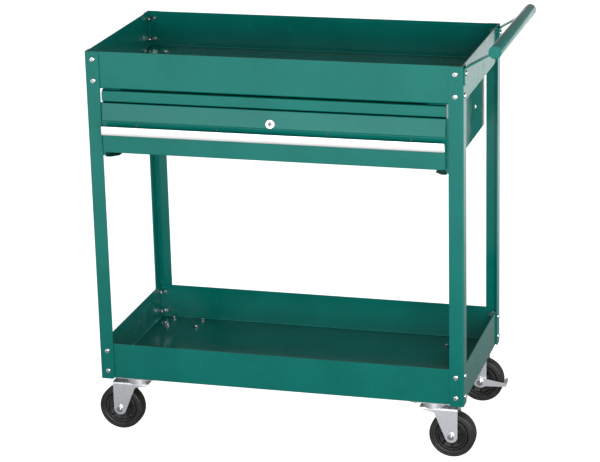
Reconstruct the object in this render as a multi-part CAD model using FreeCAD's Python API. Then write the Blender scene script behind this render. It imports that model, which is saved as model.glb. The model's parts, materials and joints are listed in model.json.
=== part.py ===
"""Rolling utility cart: two deep steel trays on four angle legs, a lockable drawer under the
top tray, a push handle on the right-hand end and four swivel casters, two of them braked.

Millimetres. +X is the handle end, -Y is the drawer front, +Z is up and the floor is z = 0.
The pieces are modelled about the middle of the trays and written out about the middle of the
whole object's footprint. Each piece is one file in parts/; like fasteners share a file.
"""
import FreeCAD, Part
import math
import os

Vec = FreeCAD.Vector
X_AXIS, Y_AXIS, Z_AXIS = Vec(1, 0, 0), Vec(0, 1, 0), Vec(0, 0, 1)

# Overall sizes
WIDTH = 812.0                # over the legs, left to right
DEPTH = 408.0                # over the legs, front to back
TRAY_HEIGHT = 80.0
TRAY_SPACING = 655.0         # underside of one tray to the underside of the next
SHEET = 1.2                  # tray and housing sheet
BEND_R = 1.5                 # inside radius of a bend in the sheet

# Legs
LEG_FLANGE = 31.0
LEG_SHEET = 3.0
LEG_DROP = 2.0               # the legs reach this far below the bottom tray
LEG_CORNER_R = 6.0           # rounded ends of the flanges

# Tray rims and the bolts through the legs
HEM_DEPTH = 10.0
TRAY_CORNER_R = 3.5
BOLT_R = 3.0
BOLT_CLEARANCE = 0.25        # radial, in every bolt hole
BOLT_HEAD_R = 5.8
BOLT_HEAD_H = 3.4
BOLT_TAIL = 1.5              # thread showing past the nut
NUT_FLATS = 10.0
NUT_H = 4.8
NUT_BORE_CLEARANCE = 0.05
LEG_BOLT_EDGE = 17.0         # from the leg's outer corner to the bolts
LEG_BOLT_DROPS = (HEM_DEPTH + 6.5, 63.0)   # below the tray's rim, the first clear of the hem

# Push handle
TUBE_R = 13.35
TUBE_WALL = 1.5
TUBE_REACH = 64.5            # legs' outer face to the tube's axis
TUBE_RISE = 32.0             # tray rim to the tube's axis
TUBE_END_SET = 3.0           # tube end inside the legs' front and rear faces
CAP_SHEET = 2.0
CAP_PLUG = 8.0
STRAP_WIDTH = 26.0
STRAP_SHEET = 3.0
STRAP_FOOT = 40.0            # from the tray rim down
STRAP_BEND_DROP = 5.0        # bend below the tray rim
STRAP_BEND_R = 5.0

# Drawer housing
HOUSING_INSET = 35.0         # legs' outer face to the housing's sides
HOUSING_HEIGHT = 149.0
HOUSING_FRONT_SET = LEG_SHEET    # legs' front face to the sides' front edge
HOUSING_LIP = 8.0            # flange of each side, out behind the legs' front flange
HOUSING_REAR_SET = 4.0
HOUSING_TOP_FLANGE = 40.0
HOUSING_BOTTOM_FLANGE = 27.0
HOUSING_CHAMFER = 15.0
HOUSING_BOLT_INSET = 24.0    # housing's side to the bolts in the tray floor
HOUSING_BOLT_END = 58.0      # legs' front or rear face to those bolts
RAIL_GAP = 3.0               # under the tray, and again over the drawer
RAIL_HEIGHT = 23.5
RAIL_PROUD = 2.0
RAIL_DEPTH = 16.0

# Ball slides
SLIDE_THICKNESS = 12.7
SLIDE_HEIGHT = 45.0
SLIDE_LENGTH = DEPTH - 28.0   # clear of the housing's back flanges
SLIDE_SHEET = 1.2
SLIDE_GAP = 1.0              # between members
SLIDE_BALL_SPACE = 3.0       # between the members' lips
SLIDE_LIP = 8.2
SLIDE_CENTRE_DROP = 82.0     # tray underside to the slide's middle
SLIDE_FRONT_SET = 3.0        # behind the housing's front edge
SLIDE_SCREW_FIRST = 8.0      # behind the slide's front end
SLIDE_SCREW_PITCH = 145.0
SLIDE_SCREW_COUNT = 3
SCREW_R = 2.0
SCREW_HEAD_R = 5.5
SCREW_HEAD_H = 2.4

# Drawer
DRAWER_SHEET = 1.0
DRAWER_HEIGHT = HOUSING_HEIGHT - 61.0
DRAWER_FLOOR_RISE = 19.0     # over the housing's underside
DRAWER_REAR_GAP = 13.0       # to the housing's back
DRAWER_FRONT_GAP = 1.0       # drawer front's back to the housing's front edge
DRAWER_FRONT_HALF_CUT = 1.0  # the front is this much shorter than the housing, each end
FRONT_HEIGHT = HOUSING_HEIGHT - 42.5
FRONT_TOP_PROUD = 0.5
FRONT_PROUD = 9.5            # lower face, ahead of the legs
FRONT_UPPER_HEIGHT = 37.5    # sloping upper face
FRONT_RECESS = 18.5          # finger recess, top to step
FRONT_LIP_RISE = 1.5         # the lip's return slopes down this much
FRONT_FLANGE = 10.0
TRIM_SHEET = 1.8
TRIM_HEIGHT = 19.5
TRIM_PROUD = 18.0
TRIM_ABOVE_STEP = 8.5
FRONT_SCREW_END = 60.0

# Lock
LOCK_DROP = 27.5             # top of the drawer front to the lock's middle
LOCK_FACE_R = 10.0
LOCK_FACE_H = 2.5
LOCK_BARREL_R = 7.0
LOCK_BARREL_LENGTH = 20.0
LOCK_PLUG_R = 5.0
LOCK_RUNNING_GAP = 0.05
LOCK_STUB = 6.0              # side of the square stub that carries the cam
LOCK_NUT_FLATS = 16.0
LOCK_NUT_H = 3.0
CAM_LENGTH = 44.0
CAM_WIDTH = 14.0
CAM_SHEET = 2.5
KEYWAY_WIDTH = 1.6
KEYWAY_HEIGHT = 6.0
KEYWAY_DEPTH = 12.0

# Casters
WHEEL_R = 50.0
CASTER_HEIGHT = 2 * WHEEL_R + 30.0    # floor to the bottom tray's underside
WHEEL_WIDTH = 32.0
TYRE_INNER_R = WHEEL_R - 16.0
HUB_WIDTH = 34.0
HUB_BOSS_R = 12.0
HUB_WEB = 12.0
KINGPIN_INSET_X = 73.0       # legs' outer faces to the kingpin
KINGPIN_INSET_Y = 42.0
TRAIL = 41.0                 # kingpin to the wheel's axle, outwards
PLATE_LENGTH = 95.0
PLATE_WIDTH = 66.0
PLATE_SHEET = 3.0
PLATE_CORNER_R = 8.0
PLATE_BOLTS_X = 70.0
PLATE_BOLTS_Y = 50.0
CROWN_TOP_DROP = 16.0        # tray underside to the top of the fork's crown
FORK_SHEET = 2.5
FORK_WHEEL_GAP = 1.5         # hub to the fork's inside, each side
FORK_TIP_R = 14.0
FORK_BEND_R = 3.0
RACE_R = 27.5
RACE_SHEET = 2.0
RACE_GAP = 0.5
BALL_R = 2.5
BALL_GAP = 0.25
BALL_COUNT = 18
KINGPIN_R = 5.0
KINGPIN_GAP = 0.06
KINGPIN_HEAD_R = 9.0
KINGPIN_HEAD_H = 4.0
KINGPIN_HEAD_GAP = 0.3
AXLE_R = 4.0
AXLE_SLEEVE_R = 6.0
AXLE_RUNNING_GAP = 0.05
AXLE_NUT_FLATS = 13.0
AXLE_NUT_H = 6.0
BRAKE_SHEET = 2.2
BRAKE_GAP = 0.3
BRAKE_BOSS_R = 12.0
BRAKE_REACH = WHEEL_R + 8.0  # axle to the pedal's tip
BRAKE_PEDAL_WIDTH = 34.0
BRAKE_TIP_RISE = 1.0

# Places worked out from the sizes above
HALF_W = WIDTH / 2
HALF_D = DEPTH / 2
TRAY_X = HALF_W - LEG_SHEET
TRAY_Y = HALF_D - LEG_SHEET
BOTTOM_TRAY_Z = CASTER_HEIGHT
TOP_TRAY_Z = CASTER_HEIGHT + TRAY_SPACING
RIM_Z = TOP_TRAY_Z + TRAY_HEIGHT
HOUSING_X = HALF_W - HOUSING_INSET
HOUSING_IN_X = HOUSING_X - SHEET
HOUSING_FRONT_Y = -HALF_D + HOUSING_FRONT_SET
HOUSING_REAR_Y = HALF_D - HOUSING_REAR_SET
HOUSING_Z = TOP_TRAY_Z - HOUSING_HEIGHT
RAIL_TOP_Z = TOP_TRAY_Z - RAIL_GAP
RAIL_BOTTOM_Z = RAIL_TOP_Z - RAIL_HEIGHT
RAIL_Y = -HALF_D - RAIL_PROUD
SLIDE_Z = TOP_TRAY_Z - SLIDE_CENTRE_DROP
SLIDE_FRONT_Y = HOUSING_FRONT_Y + SLIDE_FRONT_SET
DRAWER_X = HOUSING_IN_X - SLIDE_THICKNESS
DRAWER_Y = HOUSING_FRONT_Y - DRAWER_FRONT_GAP        # front wall's outer face
DRAWER_REAR_Y = HOUSING_REAR_Y - DRAWER_REAR_GAP
DRAWER_Z = HOUSING_Z + DRAWER_FLOOR_RISE
FRONT_TOP_Z = RAIL_BOTTOM_Z - RAIL_GAP
FRONT_X = HOUSING_X - DRAWER_FRONT_HALF_CUT
FRONT_TOP_Y = -HALF_D - FRONT_TOP_PROUD
FRONT_Y = -HALF_D - FRONT_PROUD
FRONT_LIP_Z = FRONT_TOP_Z - FRONT_UPPER_HEIGHT
FRONT_STEP_Z = FRONT_LIP_Z - FRONT_RECESS
FRONT_BOTTOM_Z = FRONT_TOP_Z - FRONT_HEIGHT
TRIM_Y = -HALF_D - TRIM_PROUD
TRIM_TOP_Z = FRONT_STEP_Z + TRIM_ABOVE_STEP
LOCK_TILT = math.atan2(FRONT_TOP_Y - FRONT_Y, FRONT_UPPER_HEIGHT - DRAWER_SHEET)   # slope of the upper face
LOCK_Z = FRONT_TOP_Z - LOCK_DROP
LOCK_Y = (FRONT_TOP_Y + DRAWER_SHEET / 2 - (LOCK_DROP - DRAWER_SHEET / 2) * math.tan(LOCK_TILT)
          - DRAWER_SHEET / 2 / math.cos(LOCK_TILT))
LOCK_OUT = Vec(0, -math.cos(LOCK_TILT), math.sin(LOCK_TILT))
KINGPIN_X = HALF_W - KINGPIN_INSET_X
KINGPIN_Y = HALF_D - KINGPIN_INSET_Y
PLATE_Z = CASTER_HEIGHT - PLATE_SHEET
CROWN_TOP_Z = CASTER_HEIGHT - CROWN_TOP_DROP
FORK_IN_Y = HUB_WIDTH / 2 + FORK_WHEEL_GAP
FORK_OUT_Y = FORK_IN_Y + FORK_SHEET
TUBE_X = HALF_W + TUBE_REACH
TUBE_Z = RIM_Z + TUBE_RISE
TUBE_Y = HALF_D - TUBE_END_SET
STRAP_Y = HALF_D - LEG_BOLT_EDGE
STRAP_BEND_Z = RIM_Z - STRAP_BEND_DROP
BOLT_HOLE_R = BOLT_R + BOLT_CLEARANCE
CASTERS = (("front_left", -1, -1), ("front_right", 1, -1), ("rear_left", -1, 1), ("rear_right", 1, 1))
BRAKED = ("rear_left", "rear_right")

# The whole object's footprint, which the written files are centred on
FOOT_X_MIN = -(KINGPIN_X + TRAIL + BRAKE_REACH)
FOOT_X_MAX = TUBE_X + TUBE_R
FOOT_Y_MIN = TRIM_Y
FOOT_Y_MAX = HALF_D + BOLT_HEAD_H
TO_FOOTPRINT = Vec(-(FOOT_X_MIN + FOOT_X_MAX) / 2, -(FOOT_Y_MIN + FOOT_Y_MAX) / 2, 0)


# ---------------------------------------------------------------- solids

def block(x0, x1, y0, y1, z0, z1):
    """Box between two corners."""
    return Part.makeBox(x1 - x0, y1 - y0, z1 - z0, Vec(x0, y0, z0))


def rod(start, direction, radius, length):
    """Cylinder from a point, along a direction."""
    return Part.makeCylinder(radius, length, start, direction)


def fuse(shapes):
    """One clean solid from touching solids."""
    shapes = list(shapes)
    joined = shapes[0].multiFuse(shapes[1:]) if len(shapes) > 1 else shapes[0]
    return joined.removeSplitter()


def mirror_x(shape):
    """The same piece for the other end of the cart."""
    return shape.mirror(Vec(0, 0, 0), X_AXIS)


def mirror_y(shape):
    """The same piece for the other side of the cart."""
    return shape.mirror(Vec(0, 0, 0), Y_AXIS)


def in_xz(u, v):
    """Section plane seen from the front."""
    return Vec(u, 0, v)


def in_yz(u, v):
    """Section plane seen from the end."""
    return Vec(0, u, v)


def in_xy(u, v):
    """Section plane seen from above."""
    return Vec(u, v, 0)


def prism(points, plane, start, length):
    """Straight-sided outline in a plane, extruded along the plane's normal from start."""
    normal = {in_xz: Y_AXIS, in_yz: X_AXIS, in_xy: Z_AXIS}[plane]
    corners = [plane(u, v) for u, v in points]
    face = Part.Face(Part.makePolygon(corners + corners[:1]))
    face.translate(normal * start)
    return face.extrude(normal * length)


def folded_sheet(path, sheet, inside_r, plane, start, length):
    """Sheet of even thickness bent along a path.

    The path is the sheet's middle line: (u, v) corners in the section plane. Each corner is an
    arc with the given inside radius. The section is extruded along the plane's normal.
    """
    normal = {in_xz: Y_AXIS, in_yz: X_AXIS, in_xy: Z_AXIS}[plane]
    bend_r = inside_r + sheet / 2
    corners = [Vec(u, v, 0) for u, v in path]
    sides = {1: [], -1: []}
    last = corners[0]
    for i in range(1, len(corners)):
        ahead = (corners[i] - corners[i - 1]).normalize()
        left = Vec(-ahead.y, ahead.x, 0)
        turn = 0.0
        if i + 1 < len(corners):
            onward = (corners[i + 1] - corners[i]).normalize()
            turn = math.atan2(ahead.cross(onward).z, ahead.dot(onward))
        setback = bend_r * math.tan(abs(turn) / 2)
        end = corners[i] - ahead * setback
        for side in sides:
            shift = left * (side * sheet / 2)
            sides[side].append(("line", last + shift, end + shift))
        if turn:
            hand = 1 if turn > 0 else -1
            centre = end + left * (hand * bend_r)
            half = FreeCAD.Rotation(Z_AXIS, math.degrees(turn / 2))
            full = FreeCAD.Rotation(Z_AXIS, math.degrees(turn))
            for side in sides:
                arm = (end + left * (side * sheet / 2)) - centre
                sides[side].append(("arc", centre + arm, centre + half.multVec(arm),
                                    centre + full.multVec(arm)))
            last = corners[i] + onward * setback
    edges = []
    for side in sides:
        for kind, *points in sides[side]:
            placed = [plane(p.x, p.y) for p in points]
            curve = Part.LineSegment(*placed) if kind == "line" else Part.Arc(*placed)
            edges.append(curve.toShape())
    for piece in (0, -1):
        ends = [plane(sides[side][piece][1 if piece == 0 else -1].x,
                      sides[side][piece][1 if piece == 0 else -1].y) for side in sides]
        edges.append(Part.LineSegment(*ends).toShape())
    face = Part.Face(Part.Wire(Part.__sortEdges__(edges)))
    face.translate(normal * start)
    return face.extrude(normal * length)


def turned(profile, centre, axis):
    """Solid of revolution: (radius, height) outline about an axis through centre."""
    points = [Vec(r, 0, h) for r, h in profile]
    face = Part.Face(Part.makePolygon(points + points[:1]))
    solid = face.revolve(Vec(0, 0, 0), Z_AXIS, 360)
    solid.Placement = FreeCAD.Placement(centre, FreeCAD.Rotation(Z_AXIS, axis))
    return solid


def hexagon(centre, axis, flats, height, bore_r=0.0, spin=0.0):
    """Hexagonal nut or head, with a flat facing sideways."""
    corner_r = flats / math.sqrt(3)
    angles = [math.radians(30 + spin + 60 * i) for i in range(6)]
    corners = [Vec(corner_r * math.cos(a), corner_r * math.sin(a), 0) for a in angles]
    solid = Part.Face(Part.makePolygon(corners + corners[:1])).extrude(Z_AXIS * height)
    crown = turned([(0, 0), (corner_r, 0), (corner_r, height * 0.85), (flats / 2, height), (0, height)],
                   Vec(0, 0, 0), Z_AXIS)
    solid = solid.common(crown)
    if bore_r:
        solid = solid.cut(rod(Vec(0, 0, 0), Z_AXIS, bore_r, height))
    solid.Placement = FreeCAD.Placement(centre, FreeCAD.Rotation(Z_AXIS, axis))
    return solid


def dome_bolt(seat, outward, shank_length, shank_r=BOLT_R, head_r=BOLT_HEAD_R, head_h=BOLT_HEAD_H):
    """Round-headed bolt with a cross recess; its head's underside is at seat."""
    dome_r = (head_r ** 2 + head_h ** 2) / (2 * head_h)
    ball = Part.makeSphere(dome_r, Vec(0, 0, head_h - dome_r))
    head = ball.common(rod(Vec(0, 0, 0), Z_AXIS, head_r, head_h))
    slot = head_r * 0.55
    slot_half = head_r * 0.13
    recess = [block(-slot, slot, -slot_half, slot_half, head_h * 0.45, head_h + 1),
              block(-slot_half, slot_half, -slot, slot, head_h * 0.45, head_h + 1)]
    head = head.cut(recess[0]).cut(recess[1])
    bolt = fuse([head, rod(Vec(0, 0, -shank_length), Z_AXIS, shank_r, shank_length)])
    bolt.Placement = FreeCAD.Placement(seat, FreeCAD.Rotation(Z_AXIS, outward))
    return bolt


def edges_where(shape, test):
    """Edges whose middle point and direction pass a test."""
    found = []
    for edge in shape.Edges:
        middle = edge.valueAt((edge.FirstParameter + edge.LastParameter) / 2)
        along = edge.tangentAt((edge.FirstParameter + edge.LastParameter) / 2)
        if test(middle, along):
            found.append(edge)
    return found


def open_box(x, y0, y1, z, height, sheet, corner_r, hem):
    """Folded sheet tray, open at the top, with a hemmed rim."""
    outer = block(-x, x, y0, y1, z, z + height)
    inner = block(-x + sheet, x - sheet, y0 + sheet, y1 - sheet, z + sheet, z + height)

    def rounded(solid, radius, floor_z):
        return solid.makeFillet(radius, edges_where(
            solid, lambda middle, along: abs(along.z) > 0.9 or abs(middle.z - floor_z) < 1e-6))

    shell = rounded(outer, corner_r, z).cut(rounded(inner, corner_r - sheet, z + sheet))
    fold = block(-x + sheet, x - sheet, y0 + sheet, y1 - sheet, z + height - hem, z + height)
    fold = fold.makeFillet(corner_r - sheet, edges_where(fold, lambda middle, along: abs(along.z) > 0.9))
    hole = block(-x + 2 * sheet, x - 2 * sheet, y0 + 2 * sheet, y1 - 2 * sheet,
                 z + height - hem, z + height)
    return fuse([shell, fold.cut(hole)])


# ---------------------------------------------------------------- frame: legs and trays

def leg_bolt_seats():
    """Every bolt through a leg: (point on the leg's outer face, outward direction, has the strap)."""
    seats = []
    for tray_z in (BOTTOM_TRAY_Z, TOP_TRAY_Z):
        for drop in LEG_BOLT_DROPS:
            z = tray_z + TRAY_HEIGHT - drop
            strapped = tray_z == TOP_TRAY_Z and drop == LEG_BOLT_DROPS[0]
            for sx in (-1, 1):
                for sy in (-1, 1):
                    seats.append((Vec(sx * (HALF_W - LEG_BOLT_EDGE), sy * HALF_D, z), Y_AXIS * sy, False))
                    seats.append((Vec(sx * HALF_W, sy * (HALF_D - LEG_BOLT_EDGE), z), X_AXIS * sx,
                                  strapped and sx > 0))
    return seats


def drilled(shape, seats, depth, radius=BOLT_HOLE_R):
    """The shape with a hole inwards from each seat that reaches it."""
    for seat, outward, _ in seats:
        hole = rod(seat + outward, outward * -1, radius, depth + 1)
        if hole.BoundBox.intersect(shape.BoundBox):
            shape = shape.cut(hole)
    return shape


def leg(sx, sy):
    """Steel angle with rounded flange ends, outside the trays' corner."""
    middle = LEG_SHEET / 2
    path = [(HALF_W - LEG_FLANGE, HALF_D - middle), (HALF_W - middle, HALF_D - middle),
            (HALF_W - middle, HALF_D - LEG_FLANGE)]
    z0 = BOTTOM_TRAY_Z - LEG_DROP
    angle = folded_sheet(path, LEG_SHEET, BEND_R, in_xy, z0, RIM_Z - z0)
    corners = edges_where(angle, lambda middle_point, along: abs(along.z) < 0.1 and (
        abs(middle_point.x - (HALF_W - LEG_FLANGE)) < 1e-6 or abs(middle_point.y - (HALF_D - LEG_FLANGE)) < 1e-6))
    angle = angle.makeFillet(LEG_CORNER_R, corners)
    if sx < 0:
        angle = mirror_x(angle)
    if sy < 0:
        angle = mirror_y(angle)
    return drilled(angle, leg_bolt_seats(), LEG_SHEET)


def housing_bolt_seats():
    """Bolts that hang the drawer housing from the top tray's floor."""
    x = HOUSING_X - HOUSING_BOLT_INSET
    y = HALF_D - HOUSING_BOLT_END
    return [(Vec(sx * x, sy * y, TOP_TRAY_Z + SHEET), Z_AXIS, False) for sx in (-1, 1) for sy in (-1, 1)]


def caster_bolt_seats():
    """Bolts up through the caster plates; the seat is the plate's underside."""
    seats = []
    for _, sx, sy in CASTERS:
        for px in (-1, 1):
            for py in (-1, 1):
                seats.append((Vec(sx * KINGPIN_X + px * PLATE_BOLTS_X / 2,
                                  sy * KINGPIN_Y + py * PLATE_BOLTS_Y / 2, PLATE_Z), Z_AXIS * -1, False))
    return seats


def trays():
    """Both trays, drilled for the legs, the housing and the casters."""
    def tray(z):
        return drilled(open_box(TRAY_X, -TRAY_Y, TRAY_Y, z, TRAY_HEIGHT, SHEET, TRAY_CORNER_R, HEM_DEPTH),
                       leg_bolt_seats(), LEG_SHEET + 2 * SHEET + 1)
    return {"top_tray": drilled(tray(TOP_TRAY_Z), housing_bolt_seats(), 2 * SHEET),
            "bottom_tray": drilled(tray(BOTTOM_TRAY_Z), caster_bolt_seats(), PLATE_SHEET + 2 * SHEET)}


def tray_fasteners():
    """Bolts through the legs with their nuts inside the trays."""
    bolts = []
    nuts = []
    for seat, outward, strapped in leg_bolt_seats():
        head_seat = seat + outward * (STRAP_SHEET if strapped else 0)
        nut_seat = seat - outward * (LEG_SHEET + SHEET)
        grip = (head_seat - nut_seat).Length
        bolts.append(dome_bolt(head_seat, outward, grip + NUT_H + BOLT_TAIL))
        nuts.append(hexagon(nut_seat, outward * -1, NUT_FLATS, NUT_H, BOLT_R + NUT_BORE_CLEARANCE))
    return {"tray_bolts": Part.makeCompound(bolts), "tray_nuts": Part.makeCompound(nuts)}


def frame():
    """Legs, trays and their fasteners."""
    pieces = {"leg_" + name: leg(sx, sy) for name, sx, sy in CASTERS}
    pieces.update(trays())
    pieces.update(tray_fasteners())
    return pieces


# ---------------------------------------------------------------- push handle

def handle():
    """Tube on two bent straps that are bolted over the right-hand legs."""
    axis_start = Vec(TUBE_X, -TUBE_Y, TUBE_Z)
    tube = rod(axis_start, Y_AXIS, TUBE_R, 2 * TUBE_Y).cut(
        rod(axis_start, Y_AXIS, TUBE_R - TUBE_WALL, 2 * TUBE_Y))
    plug_r = TUBE_R - TUBE_WALL - 0.05
    cap = turned([(0, -CAP_PLUG), (plug_r, -CAP_PLUG), (plug_r, 0), (TUBE_R, 0), (TUBE_R, CAP_SHEET * 0.6),
                  (TUBE_R - CAP_SHEET * 0.4, CAP_SHEET), (0, CAP_SHEET)],
                 Vec(TUBE_X, TUBE_Y, TUBE_Z), Y_AXIS)
    middle = HALF_W + STRAP_SHEET / 2
    path = [(middle, RIM_Z - STRAP_FOOT), (middle, STRAP_BEND_Z), (TUBE_X, TUBE_Z)]
    strap = folded_sheet(path, STRAP_SHEET, STRAP_BEND_R, in_xz, STRAP_Y - STRAP_WIDTH / 2, STRAP_WIDTH)
    strap = strap.cut(rod(Vec(TUBE_X, -HALF_D, TUBE_Z), Y_AXIS, TUBE_R, 2 * HALF_D))
    foot_ends = edges_where(strap, lambda point, along: abs(along.x) > 0.9
                            and abs(point.z - (RIM_Z - STRAP_FOOT)) < 1e-6)
    strap = strap.makeFillet(LEG_CORNER_R, foot_ends)
    seats = [(seat + outward * STRAP_SHEET, outward, strapped) for seat, outward, strapped in leg_bolt_seats()
             if strapped]
    rear = drilled(strap, seats, STRAP_SHEET)
    return {"handle_tube": tube, "handle_end_caps": Part.makeCompound([cap, mirror_y(cap)]),
            "handle_strap_rear": rear, "handle_strap_front": mirror_y(rear)}


# ---------------------------------------------------------------- drawer housing

def slide_screw_places():
    """Y of each screw along a slide."""
    return [SLIDE_FRONT_Y + SLIDE_SCREW_FIRST + i * SLIDE_SCREW_PITCH for i in range(SLIDE_SCREW_COUNT)]


def housing():
    """Side channels, front rail and back of the drawer's housing, under the top tray."""
    half = SHEET / 2
    length = HOUSING_REAR_Y - HOUSING_FRONT_Y
    path = [(HOUSING_X - HOUSING_TOP_FLANGE, TOP_TRAY_Z - half), (HOUSING_X - half, TOP_TRAY_Z - half),
            (HOUSING_X - half, HOUSING_Z + half), (HOUSING_X - HOUSING_BOTTOM_FLANGE, HOUSING_Z + half)]
    side = folded_sheet(path, SHEET, BEND_R, in_xz, HOUSING_FRONT_Y, length)
    flange_x = HOUSING_X - HOUSING_BOTTOM_FLANGE
    for y, inwards in ((HOUSING_FRONT_Y, 1), (HOUSING_REAR_Y, -1)):
        corner = [(flange_x, y), (flange_x + HOUSING_CHAMFER, y), (flange_x, y + inwards * HOUSING_CHAMFER)]
        side = side.cut(prism(corner, in_xy, HOUSING_Z, SHEET))
    lip = block(HOUSING_X - SHEET, HOUSING_X + HOUSING_LIP, HOUSING_FRONT_Y, HOUSING_FRONT_Y + SHEET,
                HOUSING_Z + BEND_R + SHEET, FRONT_TOP_Z)
    side = drilled(fuse([side, lip]), housing_bolt_seats(), 2 * SHEET)
    for y in slide_screw_places():
        side = side.cut(rod(Vec(HOUSING_X + 1, y, SLIDE_Z), X_AXIS * -1, SCREW_R + BOLT_CLEARANCE, SHEET + 2))

    back_y = RAIL_Y + RAIL_DEPTH
    rail_path = [(back_y, RAIL_TOP_Z - half), (RAIL_Y + half, RAIL_TOP_Z - half),
                 (RAIL_Y + half, RAIL_BOTTOM_Z + half), (back_y, RAIL_BOTTOM_Z + half)]
    rail = folded_sheet(rail_path, SHEET, BEND_R, in_yz, -HOUSING_IN_X, 2 * HOUSING_IN_X)
    face = block(-HOUSING_X, HOUSING_X, RAIL_Y, RAIL_Y + SHEET, RAIL_BOTTOM_Z + BEND_R + SHEET,
                 RAIL_TOP_Z - BEND_R - SHEET)
    back_path = [(HOUSING_REAR_Y - RAIL_DEPTH, TOP_TRAY_Z - SHEET - half),
                 (HOUSING_REAR_Y - half, TOP_TRAY_Z - SHEET - half),
                 (HOUSING_REAR_Y - half, HOUSING_Z + SHEET + half),
                 (HOUSING_REAR_Y - RAIL_DEPTH, HOUSING_Z + SHEET + half)]
    back_x = HOUSING_IN_X - BEND_R
    back = folded_sheet(back_path, SHEET, BEND_R, in_yz, -back_x, 2 * back_x)
    return {"housing_side_right": side, "housing_side_left": mirror_x(side),
            "housing_front_rail": fuse([rail, face]), "housing_back": back}


def housing_fasteners():
    """Bolts and nuts between the top tray and the housing, and the screws in the slides."""
    bolts = []
    nuts = []
    for seat, outward, _ in housing_bolt_seats():
        bolts.append(dome_bolt(seat, outward, 2 * SHEET + NUT_H + BOLT_TAIL))
        nuts.append(hexagon(seat - outward * (2 * SHEET), outward * -1, NUT_FLATS, NUT_H,
                            BOLT_R + NUT_BORE_CLEARANCE))
    screws = [dome_bolt(Vec(sx * HOUSING_X, y, SLIDE_Z), X_AXIS * sx, SHEET + SLIDE_SHEET,
                        SCREW_R, SCREW_HEAD_R, SCREW_HEAD_H)
              for sx in (-1, 1) for y in slide_screw_places()]
    return {"housing_bolts": Part.makeCompound(bolts), "housing_nuts": Part.makeCompound(nuts),
            "slide_screws": Part.makeCompound(screws)}


def slides():
    """Three nested channels on each side: outer on the housing, inner on the drawer."""
    half = SLIDE_SHEET / 2

    def channel(web_x, lip_x, height):
        path = [(lip_x, SLIDE_Z + height / 2 - half), (web_x, SLIDE_Z + height / 2 - half),
                (web_x, SLIDE_Z - height / 2 + half), (lip_x, SLIDE_Z - height / 2 + half)]
        return folded_sheet(path, SLIDE_SHEET, BEND_R, in_xz, SLIDE_FRONT_Y, SLIDE_LENGTH)

    outer_web = HOUSING_IN_X - half
    middle_web = outer_web - SLIDE_SHEET - SLIDE_GAP
    inner_web = DRAWER_X + half
    middle_height = SLIDE_HEIGHT - 2 * (SLIDE_SHEET + SLIDE_BALL_SPACE)
    inner_height = middle_height - 2 * (SLIDE_SHEET + SLIDE_BALL_SPACE)
    outer = channel(outer_web, outer_web - SLIDE_LIP, SLIDE_HEIGHT)
    middle = channel(middle_web, middle_web - SLIDE_LIP + SLIDE_GAP, middle_height)
    inner = channel(inner_web, middle_web - half - SLIDE_GAP, inner_height)
    for y in slide_screw_places():
        through = Vec(HOUSING_IN_X, y, SLIDE_Z)
        outer = outer.cut(rod(through, X_AXIS * -1, SCREW_R + BOLT_CLEARANCE, SLIDE_SHEET))
        through = Vec(DRAWER_X + SLIDE_SHEET, y, SLIDE_Z)
        inner = inner.cut(rod(through, X_AXIS * -1, SCREW_R + BOLT_CLEARANCE, SLIDE_SHEET))
    members = {"outer": outer, "middle": middle, "inner": inner}
    pieces = {}
    for member, shape in members.items():
        pieces["slide_" + member + "_right"] = shape
        pieces["slide_" + member + "_left"] = mirror_x(shape)
    return pieces


# ---------------------------------------------------------------- drawer

def lock_point(depth):
    """Point on the lock's axis, a depth behind the drawer front's sloping face."""
    return Vec(0, LOCK_Y, LOCK_Z) - LOCK_OUT * depth


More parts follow.
